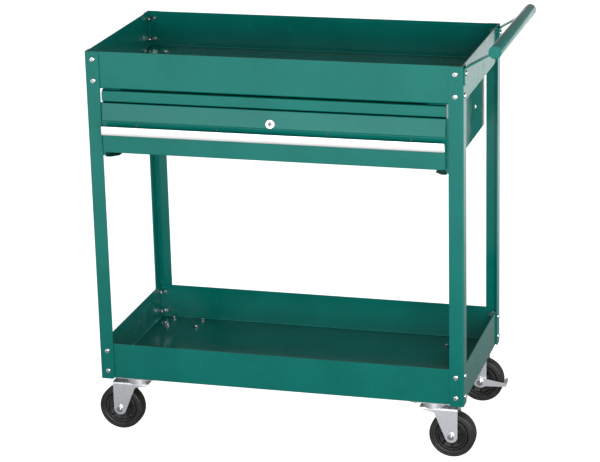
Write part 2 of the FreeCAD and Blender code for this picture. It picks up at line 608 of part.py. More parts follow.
def drawer():
    """Folded box, its front with the finger recess, and the pull trim along the recess."""
    box = open_box(DRAWER_X, DRAWER_Y, DRAWER_REAR_Y, DRAWER_Z, DRAWER_HEIGHT, DRAWER_SHEET,
                   TRAY_CORNER_R, HEM_DEPTH)
    half = DRAWER_SHEET / 2
    wall_y = DRAWER_Y - half
    path = [(FRONT_TOP_Y + FRONT_FLANGE, FRONT_TOP_Z - half), (FRONT_TOP_Y + half, FRONT_TOP_Z - half),
            (FRONT_Y + half, FRONT_LIP_Z + half), (wall_y, FRONT_LIP_Z - FRONT_LIP_RISE + half),
            (wall_y, FRONT_STEP_Z - half), (FRONT_Y + half, FRONT_STEP_Z - half),
            (FRONT_Y + half, FRONT_BOTTOM_Z + half), (wall_y, FRONT_BOTTOM_Z + half)]
    front = folded_sheet(path, DRAWER_SHEET, DRAWER_SHEET, in_yz, -FRONT_X, 2 * FRONT_X)
    end_outline = [(FRONT_TOP_Y + FRONT_FLANGE, FRONT_TOP_Z), (FRONT_TOP_Y, FRONT_TOP_Z),
                   (FRONT_Y, FRONT_LIP_Z), (DRAWER_Y - DRAWER_SHEET, FRONT_LIP_Z - FRONT_LIP_RISE)]
    upper_back = (DRAWER_Y - DRAWER_SHEET, FRONT_TOP_Z)
    upper = prism([end_outline[1], end_outline[2], end_outline[3], upper_back], in_yz, 0, DRAWER_SHEET)
    lower = prism([(FRONT_Y, FRONT_STEP_Z), (DRAWER_Y - DRAWER_SHEET, FRONT_STEP_Z),
                   (DRAWER_Y - DRAWER_SHEET, FRONT_BOTTOM_Z), (FRONT_Y, FRONT_BOTTOM_Z)],
                  in_yz, 0, DRAWER_SHEET)
    ends = []
    for x in (-FRONT_X, FRONT_X - DRAWER_SHEET):
        for end in (upper, lower):
            placed = end.copy()
            placed.translate(X_AXIS * x)
            ends.append(placed)
    front = fuse([front] + ends)
    for x0, x1 in ((-HOUSING_X, -DRAWER_X), (DRAWER_X, HOUSING_X)):
        front = front.cut(block(x0, x1, DRAWER_Y, 0, FRONT_LIP_Z, FRONT_TOP_Z + 1))
    hole_r = LOCK_BARREL_R + BOLT_CLEARANCE
    lock_hole = rod(lock_point(-1), LOCK_OUT * -1, hole_r, LOCK_BARREL_LENGTH + 2)
    front = front.cut(lock_hole)
    box = box.cut(lock_hole)

    step = FRONT_STEP_Z
    lip_back = TRIM_Y + TRIM_SHEET
    trim_bottom = TRIM_TOP_Z - TRIM_HEIGHT
    bead = TRIM_SHEET / 2
    inner_leg = FRONT_Y - TRIM_SHEET
    outline = [(TRIM_Y + bead, TRIM_TOP_Z), (lip_back, TRIM_TOP_Z - bead), (lip_back, step + TRIM_SHEET),
               (DRAWER_Y - DRAWER_SHEET - TRIM_SHEET, step + TRIM_SHEET),
               (DRAWER_Y - DRAWER_SHEET - TRIM_SHEET, step), (FRONT_Y, step), (FRONT_Y, trim_bottom),
               (inner_leg, trim_bottom), (inner_leg, step), (lip_back, step),
               (lip_back, trim_bottom + bead), (TRIM_Y + bead, trim_bottom), (TRIM_Y, trim_bottom + 3 * bead),
               (TRIM_Y, TRIM_TOP_Z - 3 * bead)]
    trim = prism(outline, in_yz, -FRONT_X, 2 * FRONT_X)

    screw_z = (FRONT_LIP_Z - FRONT_LIP_RISE + FRONT_STEP_Z) / 2
    screws = []
    for sx in (-1, 1):
        for x in (DRAWER_X - FRONT_SCREW_END, DRAWER_X / 3):
            seat = Vec(sx * x, DRAWER_Y + DRAWER_SHEET, screw_z)
            screws.append(dome_bolt(seat, Y_AXIS, 2 * DRAWER_SHEET, SCREW_R, SCREW_HEAD_R, SCREW_HEAD_H))
            hole = rod(seat, Y_AXIS * -1, SCREW_R + BOLT_CLEARANCE, 2 * DRAWER_SHEET)
            front = front.cut(hole)
            box = box.cut(hole)
        for y in slide_screw_places():
            seat = Vec(sx * (DRAWER_X - DRAWER_SHEET), y, SLIDE_Z)
            screws.append(dome_bolt(seat, X_AXIS * -sx, DRAWER_SHEET + SLIDE_SHEET,
                                    SCREW_R, SCREW_HEAD_R, SCREW_HEAD_H))
            box = box.cut(rod(seat, X_AXIS * sx, SCREW_R + BOLT_CLEARANCE, DRAWER_SHEET))
    return {"drawer_box": box, "drawer_front": front, "drawer_pull_trim": trim,
            "drawer_screws": Part.makeCompound(screws)}


def lock():
    """Cam lock in the sloping face: barrel and its nut stay, plug, cam and cam screw turn."""
    inward = LOCK_OUT * -1

    def along(profile):
        return turned([(r, -h) for r, h in profile], lock_point(0), LOCK_OUT)

    bore = LOCK_PLUG_R + LOCK_RUNNING_GAP
    edge = LOCK_FACE_H * 0.4
    barrel = along([(bore, -LOCK_FACE_H), (LOCK_FACE_R - edge, -LOCK_FACE_H), (LOCK_FACE_R, -LOCK_FACE_H + edge),
                    (LOCK_FACE_R, 0), (LOCK_BARREL_R, 0), (LOCK_BARREL_R, LOCK_BARREL_LENGTH),
                    (bore, LOCK_BARREL_LENGTH)])
    nut = hexagon(lock_point(DRAWER_SHEET), inward, LOCK_NUT_FLATS, LOCK_NUT_H,
                  LOCK_BARREL_R + NUT_BORE_CLEARANCE, 30)
    plug_end = LOCK_BARREL_LENGTH + 0.3
    plug = along([(0, -LOCK_FACE_H + edge / 2), (LOCK_PLUG_R, -LOCK_FACE_H + edge / 2),
                  (LOCK_PLUG_R, plug_end), (0, plug_end)])

    def square(side, start, length):
        solid = block(-side / 2, side / 2, -side / 2, side / 2, 0, length)
        solid.Placement = FreeCAD.Placement(lock_point(start), FreeCAD.Rotation(Z_AXIS, inward))
        return solid

    plug = fuse([plug, square(LOCK_STUB, plug_end, CAM_SHEET)])
    keyway = block(-KEYWAY_WIDTH / 2, KEYWAY_WIDTH / 2, -KEYWAY_HEIGHT / 2, KEYWAY_HEIGHT / 2, 0,
                   KEYWAY_DEPTH)
    keyway.Placement = FreeCAD.Placement(lock_point(-LOCK_FACE_H), FreeCAD.Rotation(Z_AXIS, inward))
    plug = plug.cut(keyway)

    half = CAM_WIDTH / 2
    blade = block(0, CAM_LENGTH - half, -half, half, 0, CAM_SHEET)
    ends = [rod(Vec(0, 0, 0), Z_AXIS, half, CAM_SHEET), rod(Vec(CAM_LENGTH - half, 0, 0), Z_AXIS, half, CAM_SHEET)]
    cam = fuse([blade] + ends)
    tilt = FreeCAD.Rotation(X_AXIS, 90 - math.degrees(LOCK_TILT))
    cam.Placement = FreeCAD.Placement(lock_point(plug_end + CAM_SHEET), tilt)
    cam = cam.cut(square(LOCK_STUB + 2 * NUT_BORE_CLEARANCE, plug_end - 1, CAM_SHEET + 2))
    screw_seat = lock_point(plug_end + CAM_SHEET)
    screw = dome_bolt(screw_seat, inward, SCREW_R * 2.5, SCREW_R, SCREW_HEAD_R, SCREW_HEAD_H)
    plug = plug.cut(rod(screw_seat, LOCK_OUT, SCREW_R + NUT_BORE_CLEARANCE, SCREW_R * 2.5))
    return {"lock_barrel": barrel, "lock_nut": nut, "lock_plug": plug, "lock_cam": cam,
            "lock_cam_screw": screw}


# ---------------------------------------------------------------- casters

def caster_plate():
    """Top plate with the pressed ball race under it."""
    plate = block(-PLATE_LENGTH / 2, PLATE_LENGTH / 2, -PLATE_WIDTH / 2, PLATE_WIDTH / 2, PLATE_Z, CASTER_HEIGHT)
    plate = plate.makeFillet(PLATE_CORNER_R, edges_where(plate, lambda point, along: abs(along.z) > 0.9))
    ball_z = CROWN_TOP_Z + RACE_SHEET + BALL_GAP + BALL_R
    race_z = ball_z + BALL_R + BALL_GAP
    skirt_z = ball_z - BALL_R * 0.6
    race = turned([(KINGPIN_R, PLATE_Z), (RACE_R - RACE_SHEET, PLATE_Z), (RACE_R, PLATE_Z - RACE_SHEET),
                   (RACE_R, skirt_z), (RACE_R - RACE_SHEET, skirt_z), (RACE_R - RACE_SHEET, race_z),
                   (KINGPIN_R, race_z)], Vec(0, 0, 0), Z_AXIS)
    plate = fuse([plate, race]).cut(rod(Vec(0, 0, race_z - 1), Z_AXIS, KINGPIN_R, CASTER_HEIGHT))
    for px in (-1, 1):
        for py in (-1, 1):
            plate = plate.cut(rod(Vec(px * PLATE_BOLTS_X / 2, py * PLATE_BOLTS_Y / 2, PLATE_Z - 1), Z_AXIS,
                                  BOLT_HOLE_R, PLATE_SHEET + 2))
    return plate


def caster_balls():
    """Ring of balls between the plate and the fork."""
    ring_r = RACE_R - RACE_SHEET - RACE_GAP - RACE_SHEET - BALL_R
    z = CROWN_TOP_Z + RACE_SHEET + BALL_GAP + BALL_R
    balls = []
    for i in range(BALL_COUNT):
        angle = 2 * math.pi * i / BALL_COUNT
        balls.append(Part.makeSphere(BALL_R, Vec(ring_r * math.cos(angle), ring_r * math.sin(angle), z)))
    return balls


def kingpin():
    """Riveted pin that holds the fork to the plate."""
    crown_bottom = CROWN_TOP_Z - FORK_SHEET
    head_top = crown_bottom - KINGPIN_HEAD_GAP
    head_bottom = head_top - KINGPIN_HEAD_H
    return turned([(0, head_bottom), (KINGPIN_HEAD_R * 0.7, head_bottom),
                   (KINGPIN_HEAD_R, head_bottom + KINGPIN_HEAD_H * 0.5), (KINGPIN_HEAD_R, head_top),
                   (KINGPIN_R, head_top), (KINGPIN_R, CASTER_HEIGHT), (0, CASTER_HEIGHT)],
                  Vec(0, 0, 0), Z_AXIS)


def fork():
    """Pressed fork: bent crown under the race, two legs down to the axle behind the kingpin."""
    crown_front = -RACE_R
    crown_back = TRAIL + FORK_TIP_R
    half = FORK_SHEET / 2
    leg_y = FORK_OUT_Y - half
    tip_z = WHEEL_R - FORK_TIP_R
    path = [(-leg_y, tip_z), (-leg_y, CROWN_TOP_Z - half), (leg_y, CROWN_TOP_Z - half), (leg_y, tip_z)]
    yoke = folded_sheet(path, FORK_SHEET, FORK_BEND_R, in_yz, crown_front, crown_back - crown_front)
    crown_bottom = CROWN_TOP_Z - FORK_SHEET - FORK_BEND_R
    neck = (TRAIL * 0.1, crown_bottom - 6)
    axle = (TRAIL, WHEEL_R)
    slope = math.atan2(neck[1] - axle[1], neck[0] - axle[0])
    reach = math.hypot(neck[0] - axle[0], neck[1] - axle[1])
    tangent = slope + math.acos(FORK_TIP_R / reach)
    touch = (axle[0] + FORK_TIP_R * math.cos(tangent), axle[1] + FORK_TIP_R * math.sin(tangent))
    outline = [(crown_front, CROWN_TOP_Z), (crown_front, crown_bottom), neck, touch, axle,
               (crown_back, WHEEL_R), (crown_back, CROWN_TOP_Z)]
    side = prism(outline, in_xz, -FORK_OUT_Y, 2 * FORK_OUT_Y)
    tip = rod(Vec(TRAIL, -FORK_OUT_Y, WHEEL_R), Y_AXIS, FORK_TIP_R, 2 * FORK_OUT_Y)
    yoke = yoke.common(fuse([side, tip]))
    race_r = RACE_R - RACE_SHEET - RACE_GAP
    race_top = CROWN_TOP_Z + RACE_SHEET
    race = turned([(KINGPIN_R + KINGPIN_GAP, CROWN_TOP_Z - FORK_SHEET), (race_r, CROWN_TOP_Z - FORK_SHEET),
                   (race_r, race_top + BALL_R * 0.6), (race_r - RACE_SHEET, race_top + BALL_R * 0.6),
                   (race_r - RACE_SHEET, race_top), (KINGPIN_R + KINGPIN_GAP, race_top)],
                  Vec(0, 0, 0), Z_AXIS)
    body = fuse([yoke.cut(rod(Vec(0, 0, 0), Z_AXIS, KINGPIN_R + KINGPIN_GAP, CASTER_HEIGHT)), race])
    return body.cut(rod(Vec(TRAIL, -FORK_OUT_Y - 1, WHEEL_R), Y_AXIS, AXLE_R + NUT_BORE_CLEARANCE,
                        2 * FORK_OUT_Y + 2))


def axle(braked):
    """Axle bolt with its nut at the front, and the sleeve that the hub turns on."""
    washer = BRAKE_SHEET + 2 * BRAKE_GAP if braked else 0.0
    nut_y = -FORK_OUT_Y - washer
    centre = Vec(TRAIL, 0, WHEEL_R)
    shank = rod(centre + Y_AXIS * (nut_y - AXLE_NUT_H - BOLT_TAIL), Y_AXIS, AXLE_R,
                FORK_OUT_Y - nut_y + AXLE_NUT_H + BOLT_TAIL)
    head = hexagon(centre + Y_AXIS * FORK_OUT_Y, Y_AXIS, AXLE_NUT_FLATS, AXLE_NUT_H)
    nut = hexagon(centre + Y_AXIS * nut_y, Y_AXIS * -1, AXLE_NUT_FLATS, AXLE_NUT_H,
                  AXLE_R + NUT_BORE_CLEARANCE)
    sleeve = rod(centre - Y_AXIS * FORK_IN_Y, Y_AXIS, AXLE_SLEEVE_R, 2 * FORK_IN_Y)
    sleeve = sleeve.cut(rod(centre - Y_AXIS * FORK_IN_Y, Y_AXIS, AXLE_R + NUT_BORE_CLEARANCE, 2 * FORK_IN_Y))
    solids = [fuse([shank, head]), nut, sleeve]
    if braked:
        spacer_r = AXLE_R + 2.0
        spacer = rod(centre - Y_AXIS * FORK_OUT_Y, Y_AXIS * -1, spacer_r, washer)
        solids.append(spacer.cut(rod(centre, Y_AXIS * -1, AXLE_R + NUT_BORE_CLEARANCE, 2 * FORK_OUT_Y)))
    return Part.makeCompound(solids)


def tyre():
    """Solid tyre with rounded shoulders."""
    centre = Vec(TRAIL, 0, WHEEL_R)
    half = WHEEL_WIDTH / 2
    shoulder = 5.0
    ring = turned([(TYRE_INNER_R, -half), (WHEEL_R - shoulder, -half), (WHEEL_R, -half + shoulder),
                   (WHEEL_R, half - shoulder), (WHEEL_R - shoulder, half), (TYRE_INNER_R, half)],
                  Vec(0, 0, 0), Y_AXIS)
    soft = edges_where(ring, lambda point, along: math.hypot(point.x, point.z) > WHEEL_R - shoulder - 1
                       and abs(along.y) < 0.1)
    ring = ring.makeFillet(shoulder * 0.8, soft)
    ring.translate(centre)
    return ring


def hub():
    """Moulded wheel centre: rim, thin web with a raised ring, and a boss round the axle sleeve."""
    bore = AXLE_SLEEVE_R + AXLE_RUNNING_GAP
    half = HUB_WIDTH / 2
    rim_half = WHEEL_WIDTH / 2
    web = HUB_WEB / 2
    rim_in = TYRE_INNER_R - 4.0
    ring_in, ring_out = HUB_BOSS_R + 6.0, HUB_BOSS_R + 9.0
    right = [(HUB_BOSS_R, half), (HUB_BOSS_R, web), (ring_in, web), (ring_in, web + 3), (ring_out, web + 3),
             (ring_out, web), (rim_in, web), (rim_in, rim_half), (TYRE_INNER_R, rim_half)]
    left = [(r, -h) for r, h in reversed(right)]
    return turned([(bore, half)] + right + left + [(bore, -half)], Vec(TRAIL, 0, WHEEL_R), Y_AXIS)


def brake_lever():
    """Stamped lever beside the fork: boss on the axle, arm past the tyre, pedal over the tread."""
    y1 = -FORK_OUT_Y - BRAKE_GAP
    y0 = y1 - BRAKE_SHEET
    tip_z = WHEEL_R + BRAKE_TIP_RISE
    outline = [(TRAIL - BRAKE_BOSS_R - 4, WHEEL_R - 4), (TRAIL - BRAKE_BOSS_R, WHEEL_R - BRAKE_BOSS_R + 2),
               (TRAIL, WHEEL_R - BRAKE_BOSS_R), (TRAIL + BRAKE_BOSS_R, WHEEL_R - BRAKE_BOSS_R + 3),
               (TRAIL + BRAKE_REACH * 0.6, tip_z - 9), (TRAIL + BRAKE_REACH, tip_z - 8),
               (TRAIL + BRAKE_REACH, tip_z), (TRAIL + BRAKE_BOSS_R, WHEEL_R + BRAKE_BOSS_R - 3),
               (TRAIL, WHEEL_R + BRAKE_BOSS_R), (TRAIL - BRAKE_BOSS_R, WHEEL_R + 4)]
    cheek = prism(outline, in_xz, y0, BRAKE_SHEET)
    pedal_x = TRAIL + WHEEL_R + 2.0
    pedal = block(pedal_x, TRAIL + BRAKE_REACH, y0, y0 + BRAKE_PEDAL_WIDTH, tip_z - BRAKE_SHEET, tip_z)
    pedal_end = block(TRAIL + BRAKE_REACH - BRAKE_SHEET, TRAIL + BRAKE_REACH, y0, y0 + BRAKE_PEDAL_WIDTH,
                      tip_z - 8, tip_z)
    lever = fuse([cheek, pedal, pedal_end])
    bore = AXLE_R + 2.0 + AXLE_RUNNING_GAP
    return lever.cut(rod(Vec(TRAIL, y0 - 1, WHEEL_R), Y_AXIS, bore, BRAKE_SHEET + 2))


def at_corner(shape, sx, sy):
    """A caster piece moved to its corner; left-hand ones are mirrored, so that all trail outwards."""
    placed = shape.copy() if sx > 0 else mirror_x(shape)
    placed.translate(Vec(sx * KINGPIN_X, sy * KINGPIN_Y, 0))
    return placed


def casters():
    """Four swivel casters, with the bolts that hold them under the bottom tray."""
    pieces = {}
    pins = []
    balls = []
    for name, sx, sy in CASTERS:
        braked = name in BRAKED
        parts = {"caster_plate_": caster_plate(), "caster_fork_": fork(), "caster_axle_": axle(braked),
                 "tyre_": tyre(), "wheel_hub_": hub()}
        if braked:
            parts["brake_lever_"] = brake_lever()
        for prefix, shape in parts.items():
            pieces[prefix + name] = at_corner(shape, sx, sy)
        pins.append(at_corner(kingpin(), sx, sy))
        balls.extend(at_corner(ball, sx, sy) for ball in caster_balls())
    bolts = []
    nuts = []
    for seat, outward, _ in caster_bolt_seats():
        bolts.append(dome_bolt(seat, outward, PLATE_SHEET + SHEET + NUT_H + BOLT_TAIL))
        nuts.append(hexagon(seat - outward * (PLATE_SHEET + SHEET), outward * -1, NUT_FLATS, NUT_H,
                            BOLT_R + NUT_BORE_CLEARANCE))
    pieces["caster_kingpins"] = Part.makeCompound(pins)
    pieces["caster_balls"] = Part.makeCompound(balls)
    pieces["caster_bolts"] = Part.makeCompound(bolts)
    pieces["caster_nuts"] = Part.makeCompound(nuts)
    return pieces


def main():
    """Build every piece and write it out."""
    os.makedirs("parts", exist_ok=True)
    pieces = {}
    for group in (frame, handle, housing, housing_fasteners, slides, drawer, lock, casters):
        pieces.update(group())
    for name, shape in pieces.items():
        shape.translate(TO_FOOTPRINT)
        shape.exportStep(os.path.join("parts", name + ".step"))
        print(name, len(shape.Solids), "solids", round(shape.Volume / 1000, 2), "cm3", shape.isValid())
    print(len(pieces), "pieces, origin shift", [round(v, 3) for v in TO_FOOTPRINT])


main()
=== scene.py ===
"""Looks of a rolling tool cart: green enamelled steel, satin aluminium pull, zinc plated casters.

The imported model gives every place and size. Its sheet-metal pieces keep their shape and get
eased edges and a finish. Tyres, hubs, bolts and welds are surfaces worked out here, in metres.
"""

import json
import logging
import math
from dataclasses import dataclass
from enum import Enum
from typing import Any, Callable, Sequence

import bpy
import numpy as np
from mathutils import Matrix, Vector

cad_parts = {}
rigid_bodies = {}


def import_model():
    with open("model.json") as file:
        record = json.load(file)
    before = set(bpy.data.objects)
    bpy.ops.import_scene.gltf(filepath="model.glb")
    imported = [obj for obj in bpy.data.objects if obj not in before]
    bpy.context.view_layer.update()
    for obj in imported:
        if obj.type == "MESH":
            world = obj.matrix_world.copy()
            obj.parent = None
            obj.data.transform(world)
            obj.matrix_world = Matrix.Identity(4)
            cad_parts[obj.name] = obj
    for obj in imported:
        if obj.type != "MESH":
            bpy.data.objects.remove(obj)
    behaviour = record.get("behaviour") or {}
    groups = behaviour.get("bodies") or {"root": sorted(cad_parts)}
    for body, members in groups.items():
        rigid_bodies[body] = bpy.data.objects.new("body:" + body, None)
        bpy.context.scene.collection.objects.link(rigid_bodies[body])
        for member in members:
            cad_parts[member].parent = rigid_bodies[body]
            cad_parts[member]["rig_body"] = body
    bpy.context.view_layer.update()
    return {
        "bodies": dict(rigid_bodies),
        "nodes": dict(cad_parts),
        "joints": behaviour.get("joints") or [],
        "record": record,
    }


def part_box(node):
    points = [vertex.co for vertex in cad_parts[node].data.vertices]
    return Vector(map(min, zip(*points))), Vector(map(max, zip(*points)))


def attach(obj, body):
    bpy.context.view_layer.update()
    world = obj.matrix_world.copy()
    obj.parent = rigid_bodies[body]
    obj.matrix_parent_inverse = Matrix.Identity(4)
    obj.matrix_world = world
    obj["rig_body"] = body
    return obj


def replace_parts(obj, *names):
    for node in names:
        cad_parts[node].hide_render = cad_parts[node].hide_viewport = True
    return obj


log = logging.getLogger("cart")
Array = np.ndarray
Colour = tuple[float, float, float]

MM = 0.001
TAU = 2.0 * math.pi
CORNERS = ("front_left", "front_right", "rear_left", "rear_right")
SHARP_DEG = 32.0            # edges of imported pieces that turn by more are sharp
SHORTEST_EASED = 1.5 * MM   # shorter edges are facets of holes and arcs, and stay as they are


# ---------------------------------------------------------------- shader graphs

class Val:
    """A number that varies over a surface. Arithmetic on it adds Math nodes."""

    def __init__(self, graph: "Graph", socket: bpy.types.NodeSocket) -> None:
        """Wraps one output socket of a graph."""
        self.graph = graph
        self.socket = socket

    def _math(self, operation: str, first: Any, second: Any) -> "Val":
        """One Math node with two inputs, each a number or a Val."""
        node = self.graph.add("ShaderNodeMath", {"operation": operation}, first, second)
        return Val(self.graph, node.outputs[0])

    def __add__(self, other: Any) -> "Val":
        """self + other."""
        return self._math("ADD", self, other)

    __radd__ = __add__

    def __sub__(self, other: Any) -> "Val":
        """self - other."""
        return self._math("SUBTRACT", self, other)

    def __rsub__(self, other: Any) -> "Val":
        """other - self."""
        return self._math("SUBTRACT", other, self)

    def __mul__(self, other: Any) -> "Val":
        """self * other."""
        return self._math("MULTIPLY", self, other)

    __rmul__ = __mul__

    def band(self, low: float, high: float) -> "Val":
        """A smooth step from 0 at low to 1 at high.

        Args:
            low: where the step starts.
            high: where it ends.

        Returns:
            The step, clamped to 0..1.
        """
        node = self.graph.add(
            "ShaderNodeMapRange", {"interpolation_type": "SMOOTHSTEP"}, self, low, high, 0.0, 1.0
        )
        return Val(self.graph, node.outputs[0])


class Graph:
    """One node material, built through a single node-making method."""

    def __init__(self, name: str) -> None:
        """Makes an empty material with its output, principled shader and object coordinates.

        Args:
            name: the material's name.
        """
        self.material = bpy.data.materials.new(name)
        self.material.use_nodes = True
        self.tree = self.material.node_tree
        self.tree.nodes.clear()
        self.output = self.add("ShaderNodeOutputMaterial", {})
        self.shader = self.add("ShaderNodeBsdfPrincipled", {})
        self.link(self.shader.outputs[0], self.output.inputs[0])
        self.place = self.add("ShaderNodeTexCoord", {}).outputs["Object"]

    def add(self, kind: str, settings: dict[str, Any], *values: Any, **named: Any) -> bpy.types.Node:
        """Makes a node.

        Args:
            kind: the node's type.
            settings: properties set before anything is linked. "stops" are a ramp's stops.
            values: numbers, sockets, Vals or None, for the inputs in their order.
            named: the same, for inputs by name, with _ for a space.

        Returns:
            The node.
        """
        node = self.tree.nodes.new(kind)
        for key, value in settings.items():
            if key == "stops":
                self._stops(node.color_ramp, value)
            else:
                setattr(node, key, value)
        for index, value in enumerate(values):
            self._feed(node.inputs[index], value)
        for key, value in named.items():
            self._feed(node.inputs[key.replace("_", " ")], value)
        return node

    @staticmethod
    def _stops(ramp: bpy.types.ColorRamp, stops: Sequence[tuple[float, Colour]]) -> None:
        """Sets a ramp's stops from (place, colour) pairs."""
        while len(ramp.elements) < len(stops):
            ramp.elements.new(1.0)
        for element, (place, colour) in zip(ramp.elements, stops):
            element.position = place
            element.color = (*colour, 1.0)

    def _feed(self, socket: bpy.types.NodeSocket, value: Any) -> None:
        """Links a socket or Val to an input, or sets the input's own value."""
        if value is None:
            return
        if isinstance(value, Val):
            value = value.socket
        if isinstance(value, bpy.types.NodeSocket):
            self.link(value, socket)
        elif isinstance(value, (tuple, list)) and len(value) == 3 and socket.type == "RGBA":
            socket.default_value = (*value, 1.0)
        else:
            socket.default_value = value

    def link(self, source: bpy.types.NodeSocket, target: bpy.types.NodeSocket) -> None:
        """Links two sockets."""
        self.tree.links.new(source, target)

    def stretched(self, scale: Sequence[float]) -> bpy.types.NodeSocket:
        """Object coordinates multiplied by a scale along each axis."""
        mapped = self.add("ShaderNodeMapping", {"vector_type": "POINT"}, self.place, Scale=tuple(scale))
        return mapped.outputs[0]

    def noise(self, size: float, detail: float = 2.0, stretch: Sequence[float] = (1, 1, 1)) -> Val:
        """Fractal noise.

        Args:
            size: width of its largest blobs, in metres.
            detail: octaves below that width.
            stretch: how many times finer it is along each axis.

        Returns:
            The noise, about 0.5.
        """
        where = self.place if tuple(stretch) == (1, 1, 1) else self.stretched(stretch)
        node = self.add(
            "ShaderNodeTexNoise", {"noise_dimensions": "3D"},
            Vector=where, Scale=1.0 / size, Detail=detail,
        )
        return Val(self, node.outputs[0])

    def cells(self, size: float) -> Val:
        """Voronoi cells of one random grey each, of a width in metres."""
        node = self.add("ShaderNodeTexVoronoi", {"feature": "F1"}, Vector=self.place, Scale=1.0 / size)
        return Val(self, node.outputs["Color"])

    def mix(self, factor: Any, first: Any, second: Any) -> bpy.types.NodeSocket:
        """Mixes two colours.

        Args:
            factor: 0 for first and 1 for second.
            first: a colour or a socket.
            second: a colour or a socket.

        Returns:
            The mixed colour's socket.
        """
        node = self.add("ShaderNodeMix", {"data_type": "RGBA"})
        self._feed(node.inputs[0], factor)
        self._feed(node.inputs[6], first)
        self._feed(node.inputs[7], second)
        return node.outputs[2]

    def bump(self, height: Val, depth: float, strength: float = 1.0, under: Any = None) -> Any:
        """Tilts the normal by a height field.

        Args:
            height: the field, 0 to 1.
            depth: how far 1 stands over 0, in metres.
            strength: share of the tilt that is kept.
            under: a normal to start from.

        Returns:
            The normal's socket.
        """
        node = self.add(
            "ShaderNodeBump", {}, Height=height, Distance=depth, Strength=strength, Normal=under
        )
        return node.outputs[0]

    def surface(self, **named: Any) -> None:
        """Sets or links the principled shader's inputs by name, with _ for a space."""
        for key, value in named.items():
            self._feed(self.shader.inputs[key.replace("_", " ")], value)


# ---------------------------------------------------------------- finishes

class Grain(Enum):
    """How a metal's surface was worked."""

    BRUSHED = "brushed"
    SATIN = "satin"
    POLISHED = "polished"


@dataclass(frozen=True)
class Finish:
    """A finish: its name, and the record's material slot that it stands for, which is not used."""

    name: str
    slot: str

    def dress(self, graph: Graph) -> None:
        """Builds the finish's nodes. Each kind of finish has its own."""
        raise NotImplementedError

    def material(self) -> bpy.types.Material:
        """The finish's material, made once."""
        made = bpy.data.materials.get(self.name)
        if made is None:
            graph = Graph(self.name)
            self.dress(graph)
            made = graph.material
        return made


@dataclass(frozen=True)
class Enamel(Finish):
    """Sprayed gloss enamel on sheet steel, with orange peel and slightly wavy sheet."""

    colour: Colour = (0.0012, 0.120, 0.100)
    thin_colour: Colour = (0.0026, 0.138, 0.117)
    gloss: float = 0.15
    gloss_change: float = 0.08
    scuffs: float = 0.0
    peel: float = 0.9 * MM
    peel_depth: float = 0.006 * MM
    wave: float = 75 * MM
    wave_depth: float = 0.18 * MM

    def dress(self, graph: Graph) -> None:
        """Colour drifts with the paint's thickness, and roughness with fine overspray and scuffs."""
        drift = graph.noise(110 * MM, 3.0)
        speck = graph.noise(2.2 * MM, 1.0)
        colour = graph.mix((drift * 0.8 + speck * 0.2).band(0.3, 0.7), self.colour, self.thin_colour)
        cloud = graph.noise(28 * MM, 4.0)
        roughness = self.gloss + self.gloss_change * cloud.band(0.35, 0.75)
        if self.scuffs > 0:
            along = graph.noise(9 * MM, 4.0, (0.12, 1.0, 1.0)).band(0.58, 0.66)
            across = graph.noise(8 * MM, 4.0, (1.0, 0.10, 1.0)).band(0.60, 0.67)
            roughness = roughness + (along + across) * self.scuffs
        sheet = graph.bump(graph.noise(self.wave, 1.0), self.wave_depth)
        normal = graph.bump(graph.noise(self.peel, 1.0), self.peel_depth, 1.0, sheet)
        graph.surface(
            Base_Color=colour, Roughness=roughness, Normal=normal, IOR=1.42,
            Coat_Weight=0.10, Coat_Roughness=0.05, Coat_IOR=1.45,
        )


@dataclass(frozen=True)
class Metal(Finish):
    """Bare or plated metal with a worked surface."""

    colour: Colour = (0.74, 0.75, 0.77)
    tint: Colour = (0.66, 0.67, 0.70)
    roughness: float = 0.3
    roughness_change: float = 0.12
    grain: Grain = Grain.SATIN
    grain_depth: float = 0.01 * MM

    def dress(self, graph: Graph) -> None:
        """Brushed metal has long fine lines along X, satin metal a fine tooth and plating mottle."""
        if self.grain is Grain.BRUSHED:
            lines = graph.noise(0.7 * MM, 3.0, (0.012, 1.0, 1.0))
            mottle = graph.noise(60 * MM, 3.0)
        elif self.grain is Grain.SATIN:
            lines = graph.noise(1.1 * MM, 3.0)
            mottle = graph.noise(9 * MM, 4.0) * 0.6 + graph.cells(2.5 * MM) * 0.4
        else:
            lines = graph.noise(3 * MM, 2.0)
            mottle = graph.noise(6 * MM, 2.0)
        graph.surface(
            Base_Color=graph.mix(mottle.band(0.3, 0.7), self.colour, self.tint),
            Metallic=1.0,
            Roughness=self.roughness + self.roughness_change * (lines - 0.5) + 0.05 * (mottle - 0.5),
            Normal=graph.bump(lines, self.grain_depth),
        )


@dataclass(frozen=True)
class Rubber(Finish):
    """Moulded black rubber, a little dusty where it is rough."""

    colour: Colour = (0.016, 0.016, 0.017)
    dust: Colour = (0.038, 0.038, 0.037)
    roughness: float = 0.50

    def dress(self, graph: Graph) -> None:
        """Dust lies in clouds, over the pebbled skin that a mould leaves."""
        cloud = graph.noise(14 * MM, 5.0)
        skin = graph.noise(1.3 * MM, 3.0)
        graph.surface(
            Base_Color=graph.mix((cloud * 0.7 + skin * 0.3).band(0.40, 0.80), self.colour, self.dust),
            Roughness=self.roughness + 0.25 * (cloud - 0.5) + 0.2 * (skin - 0.5),
            Normal=graph.bump(skin, 0.06 * MM),
        )


